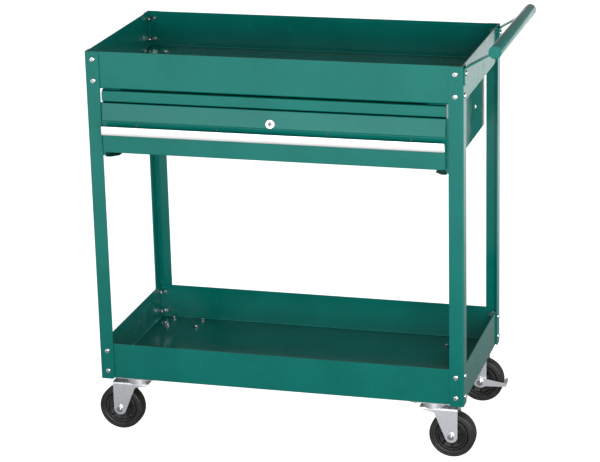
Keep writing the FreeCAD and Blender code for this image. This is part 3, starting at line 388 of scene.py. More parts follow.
@dataclass(frozen=True)
class Moulded(Finish):
    """Moulded black plastic with a fine spark-eroded texture."""

    colour: Colour = (0.020, 0.020, 0.021)
    worn: Colour = (0.040, 0.040, 0.041)
    roughness: float = 0.36

    def dress(self, graph: Graph) -> None:
        """A fine even grain, with flow marks a few centimetres wide."""
        grain = graph.noise(0.6 * MM, 2.0)
        flow = graph.noise(30 * MM, 3.0, (1.0, 0.4, 1.0))
        graph.surface(
            Base_Color=graph.mix(flow.band(0.35, 0.7), self.colour, self.worn),
            Roughness=self.roughness + 0.18 * (grain - 0.5) + 0.1 * (flow - 0.5),
            Normal=graph.bump(grain, 0.03 * MM),
        )


ENAMEL = Enamel("green enamel", "green_enamel")
TRAY_ENAMEL = Enamel("green enamel, tray", "green_enamel", scuffs=0.06)
ALUMINIUM = Metal(
    "satin aluminium", "satin_aluminium", colour=(0.93, 0.93, 0.93), tint=(0.87, 0.87, 0.88),
    roughness=0.34, roughness_change=0.2, grain=Grain.BRUSHED, grain_depth=0.015 * MM,
)
ZINC = Metal(
    "zinc plate", "zinc_plate", colour=(0.78, 0.79, 0.82), tint=(0.68, 0.70, 0.74),
    roughness=0.44, grain_depth=0.02 * MM,
)
BRIGHT_ZINC = Metal(
    "bright zinc plate", "zinc_plate", colour=(0.66, 0.67, 0.69), tint=(0.56, 0.57, 0.60),
    roughness=0.24, roughness_change=0.08, grain_depth=0.006 * MM,
)
SLIDE_ZINC = Metal(
    "slide zinc", "slide_zinc", colour=(0.70, 0.72, 0.75), tint=(0.62, 0.65, 0.69),
    roughness=0.26, grain_depth=0.008 * MM,
)
CHROME = Metal(
    "lock chrome", "lock_chrome", colour=(0.90, 0.90, 0.91), tint=(0.86, 0.86, 0.87),
    roughness=0.10, roughness_change=0.04, grain=Grain.POLISHED, grain_depth=0.002 * MM,
)
DARK_STEEL = Metal(
    "lock core steel", "lock_chrome", colour=(0.34, 0.33, 0.33), tint=(0.26, 0.25, 0.25),
    roughness=0.32, grain_depth=0.006 * MM,
)
RUBBER = Rubber("tyre rubber", "tyre_rubber")
PLASTIC = Moulded("hub plastic", "hub_plastic")


# ---------------------------------------------------------------- surfaces

@dataclass
class Frame3:
    """A place to build in: an origin and three unit directions, the last one a turning axis."""

    origin: Array
    across: Array
    up: Array
    axis: Array

    @classmethod
    def along(cls, origin: Sequence[float], axis: Sequence[float]) -> "Frame3":
        """A frame whose turning axis has the given direction.

        Args:
            origin: the point on the axis where lengths along it start.
            axis: the direction, of any length.

        Returns:
            The frame, with its two other directions square to the axis.
        """
        turn = np.asarray(axis, float)
        turn = turn / np.linalg.norm(turn)
        helper = np.array([0.0, 0.0, 1.0]) if abs(turn[2]) < 0.9 else np.array([1.0, 0.0, 0.0])
        across = np.cross(helper, turn)
        across /= np.linalg.norm(across)
        return cls(np.asarray(origin, float), across, np.cross(turn, across), turn)

    def place(self, x: Array, y: Array, z: Array) -> Array:
        """Points from coordinates along the three directions, as one array (..., 3)."""
        return (
            self.origin + x[..., None] * self.across + y[..., None] * self.up + z[..., None] * self.axis
        )


class Skin:
    """Gathers surface grids into one mesh."""

    def __init__(self, name: str) -> None:
        """Starts an empty mesh of that name."""
        self.name = name
        self.points: list[Array] = []
        self.quads: list[Array] = []
        self.tris: list[Array] = []
        self.count = 0

    def grid(self, points: Array, wrap_rows: bool = False, wrap_columns: bool = True,
             close: bool = False) -> "Skin":
        """Adds a grid of points as quads that face outwards.

        Args:
            points: an array (rows, columns, 3).
            wrap_rows: the last row joins the first.
            wrap_columns: the last column joins the first.
            close: the first and last rows each close on their own middle.

        Returns:
            The same skin.
        """
        rows, columns = points.shape[:2]
        index = np.arange(rows * columns).reshape(rows, columns)
        low, high = (index, np.roll(index, -1, 0)) if wrap_rows else (index[:-1], index[1:])
        if wrap_columns:
            corners = (low, np.roll(low, -1, 1), np.roll(high, -1, 1), high)
        else:
            corners = (low[:, :-1], low[:, 1:], high[:, 1:], high[:, :-1])
        quads = np.stack([c.ravel() for c in corners], 1)
        flat = points.reshape(-1, 3)
        tris = np.zeros((0, 3), int)
        if close:
            flat = np.vstack([flat, points[0].mean(0), points[-1].mean(0)])
            first, last = rows * columns, rows * columns + 1
            start = np.stack([np.roll(index[0], -1), index[0], np.full(columns, first)], 1)
            end = np.stack([index[-1], np.roll(index[-1], -1), np.full(columns, last)], 1)
            tris = np.vstack([start, end])
        if self._volume(flat, quads, tris) < 0:
            quads, tris = quads[:, ::-1], tris[:, ::-1]
        self.points.append(flat)
        self.quads.append(quads + self.count)
        self.tris.append(tris + self.count)
        self.count += len(flat)
        return self

    @staticmethod
    def _volume(points: Array, quads: Array, tris: Array) -> float:
        """Six times the signed volume that the faces enclose, from triple products of their corners."""
        faces = np.vstack([quads[:, (0, 1, 2)], quads[:, (0, 2, 3)], tris])
        a, b, c = (points[faces[:, k]] - points.mean(0) for k in range(3))
        return float(np.einsum("ij,ij->", a, np.cross(b, c)))

    def turned(self, frame: Frame3, along: Array, radius: Array, segments: int,
               change: Callable[[Array, Array, Array], tuple[Array, Array]] | None = None,
               **options: bool) -> "Skin":
        """Adds a profile turned about the frame's axis.

        A point is origin + across * r cos t + up * r sin t + axis * a, for each profile point
        (a, r) and each angle t.

        Args:
            frame: where the axis is.
            along: the profile's places along the axis.
            radius: its radii.
            segments: how many angles.
            change: a function of the grids of a, r and t that gives new a and r.
            options: how the grid joins, as for grid().

        Returns:
            The same skin.
        """
        turn = np.linspace(0.0, TAU, segments, endpoint=False)
        a, t = np.meshgrid(along, turn, indexing="ij")
        r = np.broadcast_to(radius[:, None], a.shape)
        if change is not None:
            a, r = change(a, r, t)
        return self.grid(frame.place(r * np.cos(t), r * np.sin(t), a), **options)

    def build(self, finish: Finish, body: str, sharp_deg: float = 35.0) -> bpy.types.Object:
        """Makes the object, smooth apart from its sharp edges, riding on a body.

        Args:
            finish: what it is made of.
            body: the frame's body that it moves with.
            sharp_deg: edges that turn by more than this stay sharp.

        Returns:
            The new object, at the origin.
        """
        mesh = bpy.data.meshes.new(self.name)
        faces = np.vstack(self.quads).tolist() + np.vstack(self.tris).tolist()
        mesh.from_pydata(np.vstack(self.points).tolist(), [], faces)
        mesh.validate()
        mesh.polygons.foreach_set("use_smooth", np.ones(len(mesh.polygons), bool))
        mesh.set_sharp_from_angle(angle=math.radians(sharp_deg))
        mesh.materials.append(finish.material())
        made = bpy.data.objects.new(self.name, mesh)
        bpy.context.scene.collection.objects.link(made)
        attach(made, body)
        log.info("%s: %d faces on %s", self.name, len(mesh.polygons), body)
        return made


def signed_power(value: Array, power: float) -> Array:
    """The sign of a value times its size to a power, the superellipse's building block."""
    return np.sign(value) * np.abs(value) ** power


def bell(value: Array, middle: float, width: float) -> Array:
    """A bell curve, 1 at its middle and e to the -1 one width away."""
    return np.exp(-(((value - middle) / width) ** 2))


def step(value: Array, low: float, high: float) -> Array:
    """A smooth step, 3t^2 - 2t^3, from 0 at low to 1 at high."""
    t = np.clip((value - low) / (high - low), 0.0, 1.0)
    return t * t * (3.0 - 2.0 * t)


def rounded(corners: Sequence[tuple[float, float]], radius: float,
            steps: int = 4) -> tuple[Array, Array]:
    """A profile with each inner corner rounded.

    Each corner gives way to a quadratic curve between two points, a radius back along its two
    runs, or half a run where that is less.

    Args:
        corners: the profile's corners, (along, radius) each.
        radius: how far the rounding starts from a corner.
        steps: points on each rounding.

    Returns:
        The places along the axis and the radii.
    """
    at = np.array(corners, float)
    before, here, after = at[:-2], at[1:-1], at[2:]
    to_before, to_after = before - here, after - here
    long_before = np.linalg.norm(to_before, axis=1, keepdims=True)
    long_after = np.linalg.norm(to_after, axis=1, keepdims=True)
    start = here + to_before / long_before * np.minimum(radius, long_before * 0.5)
    end = here + to_after / long_after * np.minimum(radius, long_after * 0.5)
    s = np.linspace(0.0, 1.0, steps)[None, :, None]
    curve = start[:, None] * (1 - s) ** 2 + 2 * here[:, None] * s * (1 - s) + end[:, None] * s**2
    path = np.vstack([at[:1], curve.reshape(-1, 2), at[-1:]])
    return path[:, 0], path[:, 1]


# ---------------------------------------------------------------- what the frame holds

@dataclass
class Model:
    """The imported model: its nodes, and measures of them."""

    nodes: dict[str, bpy.types.Object]

    def vertices(self, node: str) -> Array:
        """A node's vertices, (n, 3), in metres."""
        mesh = self.nodes[node].data
        flat = np.zeros(len(mesh.vertices) * 3)
        mesh.vertices.foreach_get("co", flat)
        return flat.reshape(-1, 3)

    def box(self, node: str) -> tuple[Array, Array]:
        """A node's lowest and highest corners."""
        low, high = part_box(node)
        return np.array(low), np.array(high)

    def solids(self, node: str) -> list[Array]:
        """A node's separate solids, each as its vertices.

        Corners at one place are one corner. Each takes the lowest label among its triangles'
        corners, again and again, until nothing changes.

        Args:
            node: the node's name.

        Returns:
            One array (n, 3) for each solid.
        """
        points = self.vertices(node)
        mesh = self.nodes[node].data
        corners = np.zeros(len(mesh.polygons) * 3, int)
        mesh.loops.foreach_get("vertex_index", corners)
        _, same = np.unique(np.round(points / 1e-6).astype(np.int64), axis=0, return_inverse=True)
        same = same.ravel()
        tris = same[corners].reshape(-1, 3)
        label = np.arange(same.max() + 1)
        while True:
            low = label[tris].min(1)
            new = label.copy()
            np.minimum.at(new, tris.ravel(), np.repeat(low, 3))
            if np.array_equal(new, label):
                break
            label = new
        own = label[same]
        return [points[own == k] for k in np.unique(own)]


def eased(node: bpy.types.Object, width: float) -> None:
    """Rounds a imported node's marked edges with live modifiers, which leave its mesh alone.

    Args:
        node: the node's object.
        width: the rounding's width in metres.
    """
    node.modifiers.new("whole skin", "NODES").node_group = whole_skin()
    bevel = node.modifiers.new("eased edges", "BEVEL")
    bevel.width = width
    bevel.segments = 2
    bevel.limit_method = "WEIGHT"
    bevel.harden_normals = True
    bevel.use_clamp_overlap = True


def whole_skin() -> bpy.types.NodeTree:
    """Geometry nodes that join a node's loose triangles and mark its edges.

    It is smooth but for edges that turn by more than SHARP_DEG. Those of them that are longer
    than SHORTEST_EASED are marked for rounding.
    """
    name = "whole skin"
    group = bpy.data.node_groups.get(name)
    if group is not None:
        return group
    group = bpy.data.node_groups.new(name, "GeometryNodeTree")
    group.interface.new_socket("Geometry", in_out="INPUT", socket_type="NodeSocketGeometry")
    group.interface.new_socket("Geometry", in_out="OUTPUT", socket_type="NodeSocketGeometry")
    start, end = group.nodes.new("NodeGroupInput"), group.nodes.new("NodeGroupOutput")
    plain = group.nodes.new("GeometryNodeSetMeshNormal")
    plain.mode = "SHARPNESS"
    plain.inputs["Remove Custom"].default_value = True
    merge = group.nodes.new("GeometryNodeMergeByDistance")
    merge.inputs["Distance"].default_value = 0.005 * MM
    smooth = group.nodes.new("GeometryNodeSetShadeSmooth")
    smooth.domain = "FACE"
    smooth.inputs["Shade Smooth"].default_value = True
    angle = group.nodes.new("GeometryNodeInputMeshEdgeAngle")
    over = group.nodes.new("FunctionNodeCompare")
    over.data_type, over.operation = "FLOAT", "GREATER_THAN"
    over.inputs[1].default_value = math.radians(SHARP_DEG)
    sharp = group.nodes.new("GeometryNodeSetShadeSmooth")
    sharp.domain = "EDGE"
    sharp.inputs["Shade Smooth"].default_value = False
    join = group.links.new
    join(start.outputs[0], plain.inputs["Mesh"])
    join(plain.outputs[0], merge.inputs["Geometry"])
    join(merge.outputs[0], smooth.inputs["Geometry"])
    join(smooth.outputs[0], sharp.inputs["Geometry"])
    join(angle.outputs["Unsigned Angle"], over.inputs[0])
    join(over.outputs[0], sharp.inputs["Selection"])
    ends = group.nodes.new("GeometryNodeInputMeshEdgeVertices")
    length = group.nodes.new("ShaderNodeVectorMath")
    length.operation = "DISTANCE"
    straight = group.nodes.new("FunctionNodeCompare")
    straight.data_type, straight.operation = "FLOAT", "GREATER_THAN"
    straight.inputs[1].default_value = SHORTEST_EASED
    both = group.nodes.new("FunctionNodeBooleanMath")
    both.operation = "AND"
    weight = group.nodes.new("GeometryNodeStoreNamedAttribute")
    weight.data_type, weight.domain = "FLOAT", "EDGE"
    weight.inputs["Name"].default_value = "bevel_weight_edge"
    join(ends.outputs["Position 1"], length.inputs[0])
    join(ends.outputs["Position 2"], length.inputs[1])
    join(length.outputs["Value"], straight.inputs[0])
    join(over.outputs[0], both.inputs[0])
    join(straight.outputs[0], both.inputs[1])
    join(sharp.outputs[0], weight.inputs["Geometry"])
    join(both.outputs[0], weight.inputs["Value"])
    join(weight.outputs[0], end.inputs[0])
    return group


@dataclass
class Group:
    """A sub-assembly of the cart."""

    model: Model

    def finish_node(self, node: str, finish: Finish, ease: float = 0.0) -> None:
        """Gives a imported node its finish, and eased edges if a width is given.

        Args:
            node: the node's name.
            finish: what it is made of.
            ease: width of the rounding on its edges, or 0 to leave them.
        """
        made = self.model.nodes[node]
        made.data.materials.clear()
        made.data.materials.append(finish.material())
        if ease > 0:
            eased(made, ease)
        log.info("%s: %s", node, finish.name)

    def build(self) -> None:
        """Builds and dresses the sub-assembly. Each one has its own."""
        raise NotImplementedError


# ---------------------------------------------------------------- fasteners

@dataclass
class RoundHeadBolts(Group):
    """All the machine bolts of one node: pan heads with a cross recess, and threaded tails."""

    node: str = "tray_bolts"
    name: str = "leg_bolts"
    head_height: float = 3.4 * MM
    recess_depth: float = 1.7 * MM
    arm_width: float = 1.3 * MM
    arm_reach: float = 3.3 * MM
    pitch: float = 1.0 * MM
    thread_depth: float = 0.55 * MM
    edge_round: float = 0.9 * MM

    def build(self) -> None:
        """Replaces the node's plain solids, each bolt from its own solid's place and size."""
        skin = Skin(self.name)
        for solid in self.model.solids(self.node):
            self.bolt(skin, solid)
        made = skin.build(BRIGHT_ZINC, self.model.nodes[self.node]["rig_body"], 50.0)
        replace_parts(made, self.node)

    def bolt(self, skin: Skin, solid: Array) -> None:
        """Adds one bolt.

        Args:
            skin: the mesh that it joins.
            solid: the vertices of the bolt that it stands for.
        """
        low, high = solid.min(0), solid.max(0)
        size = high - low
        long_way = int(np.argmax(size))
        middle = (low + high) / 2
        off = np.delete(solid - middle, long_way, 1)
        reach = np.hypot(off[:, 0], off[:, 1])
        head_radius = float(reach.max())
        at_head = solid[reach > 0.95 * head_radius, long_way].mean()
        outward = np.zeros(3)
        outward[long_way] = math.copysign(1.0, at_head - middle[long_way])
        foot = middle.copy()
        foot[long_way] = (high if outward[long_way] > 0 else low)[long_way]
        foot = foot - outward * self.head_height
        frame = Frame3.along(foot, outward)
        far = at_head - outward[long_way] * 3 * self.head_height
        tail = solid[np.sign(far - solid[:, long_way]) == outward[long_way]]
        near_tail = np.delete(tail - middle, long_way, 1) if len(tail) else off
        shank = float(np.hypot(near_tail[:, 0], near_tail[:, 1]).max()) if len(tail) else head_radius / 2
        self.head(skin, frame, head_radius)
        self.thread(skin, frame, shank, float(size[long_way]) - self.head_height)

    def head(self, skin: Skin, frame: Frame3, radius: float) -> None:
        """Adds a pan head.

        Height over the seat is H (1 - 0.42 (r/R)^2), less a rounded rim and less the recess,
        whose depth is D where the point lies on one of two crossed arms.

        Args:
            skin: the mesh that it joins.
            frame: the seat, with its axis outwards.
            radius: the head's radius.
        """
        share = np.concatenate([[0.02], np.linspace(0.08, 1.0, 17)])
        turn = np.linspace(0.0, TAU, 32, endpoint=False)
        s, t = np.meshgrid(share, turn, indexing="ij")
        x, y = s * radius * np.cos(t), s * radius * np.sin(t)
        rim = 1.0 - np.sqrt(np.clip(1.0 - step(s, 0.80, 1.0) ** 2, 0.0, 1.0))
        crown = self.head_height * (1.0 - 0.42 * s**2) - rim * self.edge_round
        arm_x = (1 - step(np.abs(y), self.arm_width * 0.35, self.arm_width * 0.75)) * (
            1 - step(np.abs(x), self.arm_reach * 0.75, self.arm_reach))
        arm_y = (1 - step(np.abs(x), self.arm_width * 0.35, self.arm_width * 0.75)) * (
            1 - step(np.abs(y), self.arm_reach * 0.75, self.arm_reach))
        height = crown - self.recess_depth * np.maximum(arm_x, arm_y)
        foot = frame.place(x[-1:], y[-1:], np.zeros_like(x[-1:]))
        skin.grid(np.concatenate([frame.place(x, y, height), foot]), close=True)

    def thread(self, skin: Skin, frame: Frame3, radius: float, length: float) -> None:
        """Adds the threaded shank, r = R - depth * saw(z / pitch - t / tau), tapered at its end.

        Args:
            skin: the mesh that it joins.
            frame: the head's seat.
            radius: the thread's outer radius.
            length: from the seat to the tail's end.
        """
        along = -np.linspace(0.0, length, max(8, int(length / self.pitch * 6)))

        def wound(a: Array, r: Array, t: Array) -> tuple[Array, Array]:
            """The shank's radius with a V thread, and a chamfer over the last pitch."""
            phase = np.mod(a / self.pitch - t / TAU, 1.0)
            groove = 1.0 - np.abs(2.0 * phase - 1.0)
            end = step(-a, length - self.pitch, length)
            return a, r - self.thread_depth * np.maximum(groove, end)

        skin.turned(frame, along, np.full(len(along), radius), 20, wound, close=True)


@dataclass
class Fasteners(Group):
    """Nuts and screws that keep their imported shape."""

    plain: tuple[str, ...] = (
        "tray_nuts", "housing_nuts", "caster_nuts", "slide_screws", "drawer_screws",
    )

    def build(self) -> None:
        """Bolts with recessed heads and real threads, then nuts and screws in bright zinc."""
        RoundHeadBolts(self.model).build()
        RoundHeadBolts(self.model, node="housing_bolts", name="housing_bolt_set").build()
        RoundHeadBolts(self.model, node="caster_bolts", name="caster_bolt_set").build()
        for node in self.plain:
            self.finish_node(node, BRIGHT_ZINC)


# ---------------------------------------------------------------- sheet metal

@dataclass
class SheetMetal(Group):
    """Legs, trays, housing and the drawer's box: folded sheet with eased edges."""

    sheet_ease: float = 0.3 * MM
    leg_ease: float = 0.6 * MM
    legs: tuple[str, ...] = tuple(f"leg_{corner}" for corner in CORNERS)
    trays: tuple[str, ...] = ("top_tray", "bottom_tray")
    sheets: tuple[str, ...] = (
        "housing_side_left", "housing_side_right", "housing_front_rail", "housing_back", "drawer_box",
    )

    def build(self) -> None:
        """Dresses every painted sheet piece."""
        for node in self.legs:
            self.finish_node(node, ENAMEL, self.leg_ease)
        for node in self.trays:
            self.finish_node(node, TRAY_ENAMEL, self.sheet_ease)
        for node in self.sheets:
            self.finish_node(node, ENAMEL, self.sheet_ease)


@dataclass
class Drawer(Group):
    """The drawer's front, its aluminium pull, the slides and the lock."""

    front_ease: float = 0.35 * MM
    trim_ease: float = 0.5 * MM

    def build(self) -> None:
        """Dresses the front, pull, slides and lock."""
        self.finish_node("drawer_front", ENAMEL, self.front_ease)
        self.finish_node("drawer_pull_trim", ALUMINIUM, self.trim_ease)
        for side in ("left", "right"):
            for member in ("outer", "middle", "inner"):
                self.finish_node(f"slide_{member}_{side}", SLIDE_ZINC, 0.25 * MM)
        self.finish_node("lock_barrel", CHROME)
        self.finish_node("lock_nut", CHROME)
        self.finish_node("lock_plug", DARK_STEEL)
        self.finish_node("lock_cam", ZINC)
        self.finish_node("lock_cam_screw", BRIGHT_ZINC)


# ---------------------------------------------------------------- handle

@dataclass
class PushHandle(Group):
    """The tube across the end, its two straps, caps and the weld beads that hold them."""

    bead_radius: float = 1.7 * MM
    bead_ripple: float = 0.30 * MM
    ripple_pitch: float = 2.4 * MM
    bead_inset: float = 1.0 * MM
    bead_taper: float = 2.0 * MM
    seam: float = 0.06 * MM     # strap corners this near the tube are on its joint

    def build(self) -> None:
        """Turns the tube afresh, dresses straps and caps, and lays the welds."""
        self.tube()
        for end in ("front", "rear"):
            self.finish_node(f"handle_strap_{end}", ENAMEL, 0.5 * MM)
            self.weld(end)
        self.finish_node("handle_end_caps", ENAMEL, 0.4 * MM)

    def tube(self) -> None:
        """The tube: a hollow turned profile with eased ends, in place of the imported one."""
        low, high = self.model.box("handle_tube")
        middle = (low + high) / 2
        outer = float(high[2] - low[2]) / 2
        points = self.model.vertices("handle_tube") - middle
        inner = float(np.hypot(points[:, 0], points[:, 2]).min())
        half = float(high[1] - low[1]) / 2
        corners = ((-half, (inner + outer) / 2), (-half, outer), (half, outer), (half, inner),
                   (-half, inner), (-half, (inner + outer) / 2))
        along, radius = rounded(corners, 0.4 * MM)
        skin = Skin("handle_tube_drawn")
        skin.turned(Frame3.along(middle, (0, 1, 0)), along[:-1], radius[:-1], 96, wrap_rows=True)
        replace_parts(skin.build(ENAMEL, "frame"), "handle_tube")

    def weld(self, end: str) -> None:
        """A bead along each edge of the strap's joint with the tube.

        A bead's radius is (R + ripple |sin(pi a / pitch)|), times the square root of the
        distance from its nearer end over the taper, up to 1.

        Args:
            end: which strap, "front" or "rear".
        """
        low, high = self.model.box("handle_tube")
        middle, outer = (low + high) / 2, float(high[2] - low[2]) / 2
        points = self.model.vertices(f"handle_strap_{end}")
        off = points - middle
        joint = points[np.hypot(off[:, 0], off[:, 2]) < outer + self.seam]
        turn = np.mod(np.arctan2(joint[:, 2] - middle[2], joint[:, 0] - middle[0]), TAU)
        start, length = float(joint[:, 1].min()), float(np.ptp(joint[:, 1]))
        skin = Skin(f"weld_beads_{end}")
        along = np.linspace(self.bead_inset, length - self.bead_inset, 90)
        inset = np.minimum(along - along[0], along[-1] - along)
        taper = np.sqrt(np.clip(inset / self.bead_taper, 0.02, 1.0))
        wave = np.abs(np.sin(math.pi * along / self.ripple_pitch))
        radius = self.bead_radius * taper * (1 + self.bead_ripple / self.bead_radius * wave)
        for angle in (float(turn.min()), float(turn.max())):
            at = (middle[0] + outer * math.cos(angle), start, middle[2] + outer * math.sin(angle))
            skin.turned(Frame3.along(at, (0, 1, 0)), along, radius, 16, close=True)
        skin.build(ENAMEL, "frame")


# ---------------------------------------------------------------- casters

@dataclass
class Caster(Group):
    """One caster: plate, fork, axle, rubber tyre and ribbed hub, and a brake lever at the rear."""

    corner: str = "front_left"
    groove_place: float = 6.0 * MM
    groove_depth: float = 0.8 * MM
    wall_ring: float = 0.7 * MM
    ribs: int = 8
    rib_height: float = 3.5 * MM
    rib_width: float = 0.11     # half a rib, as a share of the turn from rib to rib

    def build(self) -> None:
        """Makes the tyre and the hub, and dresses the metal pieces."""
        self.tyre()
        self.hub()
        self.finish_node(f"caster_plate_{self.corner}", ZINC, 0.4 * MM)
        self.finish_node(f"caster_fork_{self.corner}", ZINC, 0.5 * MM)
        self.finish_node(f"caster_axle_{self.corner}", BRIGHT_ZINC)
        if self.corner.startswith("rear"):
            self.finish_node(f"brake_lever_{self.corner}", ZINC, 0.4 * MM)

    def axle(self) -> Frame3:
        """The wheel's own frame: its middle, with the axle as the turning axis."""
        low, high = self.model.box(f"tyre_{self.corner}")
        return Frame3.along((low + high) / 2, (0, 1, 0))

    def tyre(self) -> None:
        """The tyre, a superellipse section carried round the axle.

        Along the axle a = W/2 sgn(cos s)|cos s|^0.42, and from it r = R + H/2 sgn(sin s)|sin s|^0.55.
        Bell-shaped grooves are taken from the tread and stepped rings from the walls.
        """
        low, high = self.model.box(f"tyre_{self.corner}")
        frame = self.axle()
        width, outer = float(high[1] - low[1]), float(high[2] - low[2]) / 2
        points = self.model.vertices(f"tyre_{self.corner}") - frame.origin
        inner = float(np.hypot(points[:, 0], points[:, 2]).min())
        s = np.linspace(0.0, TAU, 112, endpoint=False)
        along = width / 2 * signed_power(np.cos(s), 0.42)
        radius = (outer + inner) / 2 + (outer - inner) / 2 * signed_power(np.sin(s), 0.55)
        on_tread = step(radius, outer - 3 * MM, outer - 1 * MM)
        grooves = sum(bell(along, side * self.groove_place, 1.1 * MM) for side in (-1, 1))
        radius = radius - on_tread * np.clip(grooves, 0, 1) * self.groove_depth
        on_wall = step(np.abs(along), width * 0.40, width * 0.47)
        rings = bell(radius, outer - 6.2 * MM, 0.8 * MM) + bell(radius, inner + 3.0 * MM, 0.9 * MM)
        along = along - np.sign(along) * on_wall * rings * self.wall_ring
        skin = Skin(f"tyre_moulded_{self.corner}")
        skin.turned(frame, along, radius, 112, wrap_rows=True)
        made = skin.build(RUBBER, f"wheel_{self.corner}", 60.0)
        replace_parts(made, f"tyre_{self.corner}")

    def hub(self) -> None:
        """The hub, one closed section from bore to rim, with ribs raised between boss and rim.

        A rib stands over the web by its height times e to the -(angle to the nearest rib over
        the rib's half width)^4.
        """
        node = f"wheel_hub_{self.corner}"
        low, high = self.model.box(node)
        frame = self.axle()
        half, rim = float(high[1] - low[1]) / 2, float(high[2] - low[2]) / 2
        points = self.model.vertices(node) - frame.origin
        bore = float(np.hypot(points[:, 0], points[:, 2]).min())
        face, web, boss, lip = half - 2.5 * MM, 6.0 * MM, 12.0 * MM, 4.0 * MM
        side = [(0.0, rim), (face, rim), (face, rim - lip), (web + 3 * MM, rim - lip - 1.0 * MM),
                (web + 2 * MM, rim - lip - 7 * MM), (web, rim - lip - 8.5 * MM), (web, boss + 3 * MM),
                (web + 3 * MM, boss), (half, boss - 1 * MM), (half, bore)]
        mirrored = [(-a, r) for a, r in reversed(side)]
        along, radius = rounded(side + mirrored, 0.8 * MM)
        fine_a, fine_r = self.finer(along, radius, 0.8 * MM)

        def ribbed(a: Array, r: Array, t: Array) -> tuple[Array, Array]:
            """Raises the ribs on both faces of the web."""
            turn = np.mod(t * self.ribs / TAU + 0.5, 1.0) - 0.5
            on_web = step(r, boss, boss + 2 * MM) * (1 - step(r, rim - lip - 3 * MM, rim - lip))
            lift = self.rib_height * np.exp(-((turn / self.rib_width) ** 4)) * on_web
            room = np.clip(face - 1 * MM - np.abs(a), 0.0, None)
            return a + np.sign(a) * np.minimum(lift, room), r

        skin = Skin(f"wheel_hub_moulded_{self.corner}")
        skin.turned(frame, fine_a, fine_r, 96, ribbed, wrap_rows=True)
        made = skin.build(PLASTIC, f"wheel_{self.corner}", 40.0)
        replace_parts(made, node)

    @staticmethod
    def finer(along: Array, radius: Array, pitch: float) -> tuple[Array, Array]:
        """A profile's points at an even pitch along it, with its own points kept.

        Args:
            along: its places along the axis.
            radius: its radii.
            pitch: the greatest distance between points.

        Returns:
            The finer profile, without a repeated end.
        """
        run = np.concatenate([[0.0], np.cumsum(np.hypot(np.diff(along), np.diff(radius)))])
        even = np.arange(0.0, run[-1], pitch)
        at = np.unique(np.round(np.concatenate([run[:-1], even]), 6))
        keep = np.concatenate([[True], np.diff(at) > 0.05 * MM])
        return np.interp(at[keep], run, along), np.interp(at[keep], run, radius)


@dataclass
class Casters(Group):
    """The four casters and what their swivels share."""

    def build(self) -> None:
        """Builds each caster, then the kingpins and ball races."""
        for corner in CORNERS:
            Caster(self.model, corner=corner).build()
        self.finish_node("caster_kingpins", BRIGHT_ZINC)
        self.finish_node("caster_balls", BRIGHT_ZINC)


# ---------------------------------------------------------------- studio

@dataclass(frozen=True)
class SoftBox:
    """A square soft light: where it stands, the point it faces, its side and its power in watts."""

    place: tuple[float, float, float]
    target: tuple[float, float, float]
    size: float
    power: float

    def build(self, name: str) -> None:
        """Adds the light under the given name."""
        light = bpy.data.lights.new(name, "AREA")
        light.shape, light.size, light.energy = "SQUARE", self.size, self.power
        made = bpy.data.objects.new(name, light)
        made.location = self.place
        aim = Vector(self.target) - Vector(self.place)
        made.rotation_euler = aim.to_track_quat("-Z", "Y").to_euler()
        bpy.context.scene.collection.objects.link(made)


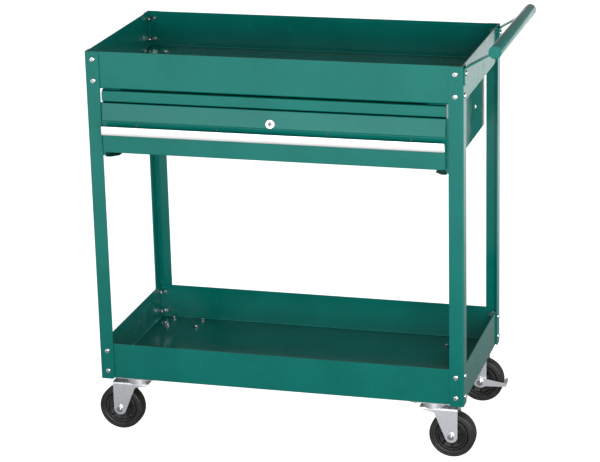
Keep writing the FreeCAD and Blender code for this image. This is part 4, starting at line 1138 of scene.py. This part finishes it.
@dataclass
class Studio:
    """White backdrop, dim surroundings, three soft boxes, and the camera.

    The camera sees a plain white backdrop. Light and reflections come from a grey floor that is
    dark near the cart and bright further off, as a studio floor is round a lit object.
    """

    middle: tuple[float, float]
    floor_half: float = 60.0
    floor_albedo: float = 0.16
    near_glow: float = 0.16
    far_glow: float = 0.92
    near_reach: float = 0.45
    far_reach: float = 2.6
    sky: float = 0.30
    camera_offset: tuple[float, float, float] = (1.29206, -4.54480, 1.94299)
    azimuth_deg: float = 15.886
    elevation_deg: float = 17.763
    roll_deg: float = 1.416
    lens_mm: float = 135.45
    boxes: tuple[SoftBox, ...] = (
        SoftBox((1.5, -4.4, 1.3), (0.0, -0.1, 0.65), 1.6, 175.0),
        SoftBox((3.2, 0.2, 1.9), (0.0, 0.0, 0.7), 1.8, 45.0),
        SoftBox((-1.3, -4.4, 1.9), (0.0, -0.2, 0.7), 2.6, 34.0),
    )

    def build(self) -> None:
        """Makes the floor, the surroundings, the lights and the camera."""
        self.floor()
        self.surroundings()
        for number, box in enumerate(self.boxes):
            box.build(f"soft_box_{number}")
        self.camera()
        bpy.context.scene.view_settings.view_transform = "Standard"
        bpy.context.scene.view_settings.look = "Medium High Contrast"

    def floor(self) -> None:
        """A floor that the camera sees as plain white, and the cart as grey with a far glow."""
        half = self.floor_half
        mesh = bpy.data.meshes.new("floor")
        mesh.from_pydata([(-half, -half, 0), (half, -half, 0), (half, half, 0), (-half, half, 0)], [],
                         [(0, 1, 2, 3)])
        made = bpy.data.objects.new("floor", mesh)
        graph = Graph("white floor")
        away = graph.add("ShaderNodeVectorMath", {"operation": "LENGTH"}, graph.place).outputs["Value"]
        glow = Val(graph, away).band(self.near_reach, self.far_reach)
        graph.surface(
            Base_Color=(self.floor_albedo,) * 3, Roughness=1.0, Specular_IOR_Level=0.0,
            Emission_Color=graph.mix(glow, (self.near_glow,) * 3, (self.far_glow,) * 3),
            Emission_Strength=1.0,
        )
        plain = graph.add("ShaderNodeEmission", {}, Color=(1.0, 1.0, 1.0), Strength=1.0)
        seen = graph.add("ShaderNodeLightPath", {}).outputs["Is Camera Ray"]
        both = graph.add("ShaderNodeMixShader", {}, seen, graph.shader.outputs[0], plain.outputs[0])
        graph.link(both.outputs[0], graph.output.inputs[0])
        mesh.materials.append(graph.material)
        bpy.context.scene.collection.objects.link(made)

    def surroundings(self) -> None:
        """An even, dim sky, which the camera sees as white."""
        world = bpy.data.worlds.new("studio")
        world.use_nodes = True
        tree = world.node_tree
        background = tree.nodes["Background"]
        background.inputs["Color"].default_value = (1.0, 1.0, 1.0, 1.0)
        background.inputs["Strength"].default_value = self.sky
        white = tree.nodes.new("ShaderNodeBackground")
        white.inputs["Color"].default_value = (1.0, 1.0, 1.0, 1.0)
        seen = tree.nodes.new("ShaderNodeLightPath").outputs["Is Camera Ray"]
        both = tree.nodes.new("ShaderNodeMixShader")
        tree.links.new(seen, both.inputs[0])
        tree.links.new(background.outputs[0], both.inputs[1])
        tree.links.new(white.outputs[0], both.inputs[2])
        tree.links.new(both.outputs[0], tree.nodes["World Output"].inputs[0])
        bpy.context.scene.world = world

    def camera(self) -> None:
        """A long lens at the cart's front right, looking down on it."""
        azimuth, elevation = math.radians(self.azimuth_deg), math.radians(self.elevation_deg)
        turn = Matrix.Rotation(azimuth, 4, "Z") @ Matrix.Rotation(math.pi / 2 - elevation, 4, "X")
        roll = Matrix.Rotation(-math.radians(self.roll_deg), 4, "Z")
        data = bpy.data.cameras.new("camera")
        data.lens, data.sensor_width = self.lens_mm, 36.0
        data.clip_end = 4 * self.floor_half
        made = bpy.data.objects.new("camera", data)
        x, y, z = self.camera_offset
        place = Matrix.Translation((self.middle[0] + x, self.middle[1] + y, z))
        made.matrix_world = place @ turn @ roll
        bpy.context.scene.collection.objects.link(made)
        bpy.context.scene.camera = made


def main() -> None:
    """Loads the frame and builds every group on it."""
    logging.basicConfig(level=logging.INFO, format="%(name)s: %(message)s")
    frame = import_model()
    model = Model(frame["nodes"])
    groups: tuple[Group, ...] = (
        SheetMetal(model), Drawer(model), PushHandle(model), Casters(model), Fasteners(model),
    )
    for group in groups:
        group.build()
        log.info("%s done", type(group).__name__)
    low, high = model.box("bottom_tray")
    Studio((float(low[0] + high[0]) / 2, float(low[1] + high[1]) / 2)).build()


if __name__ == "__main__":
    main()
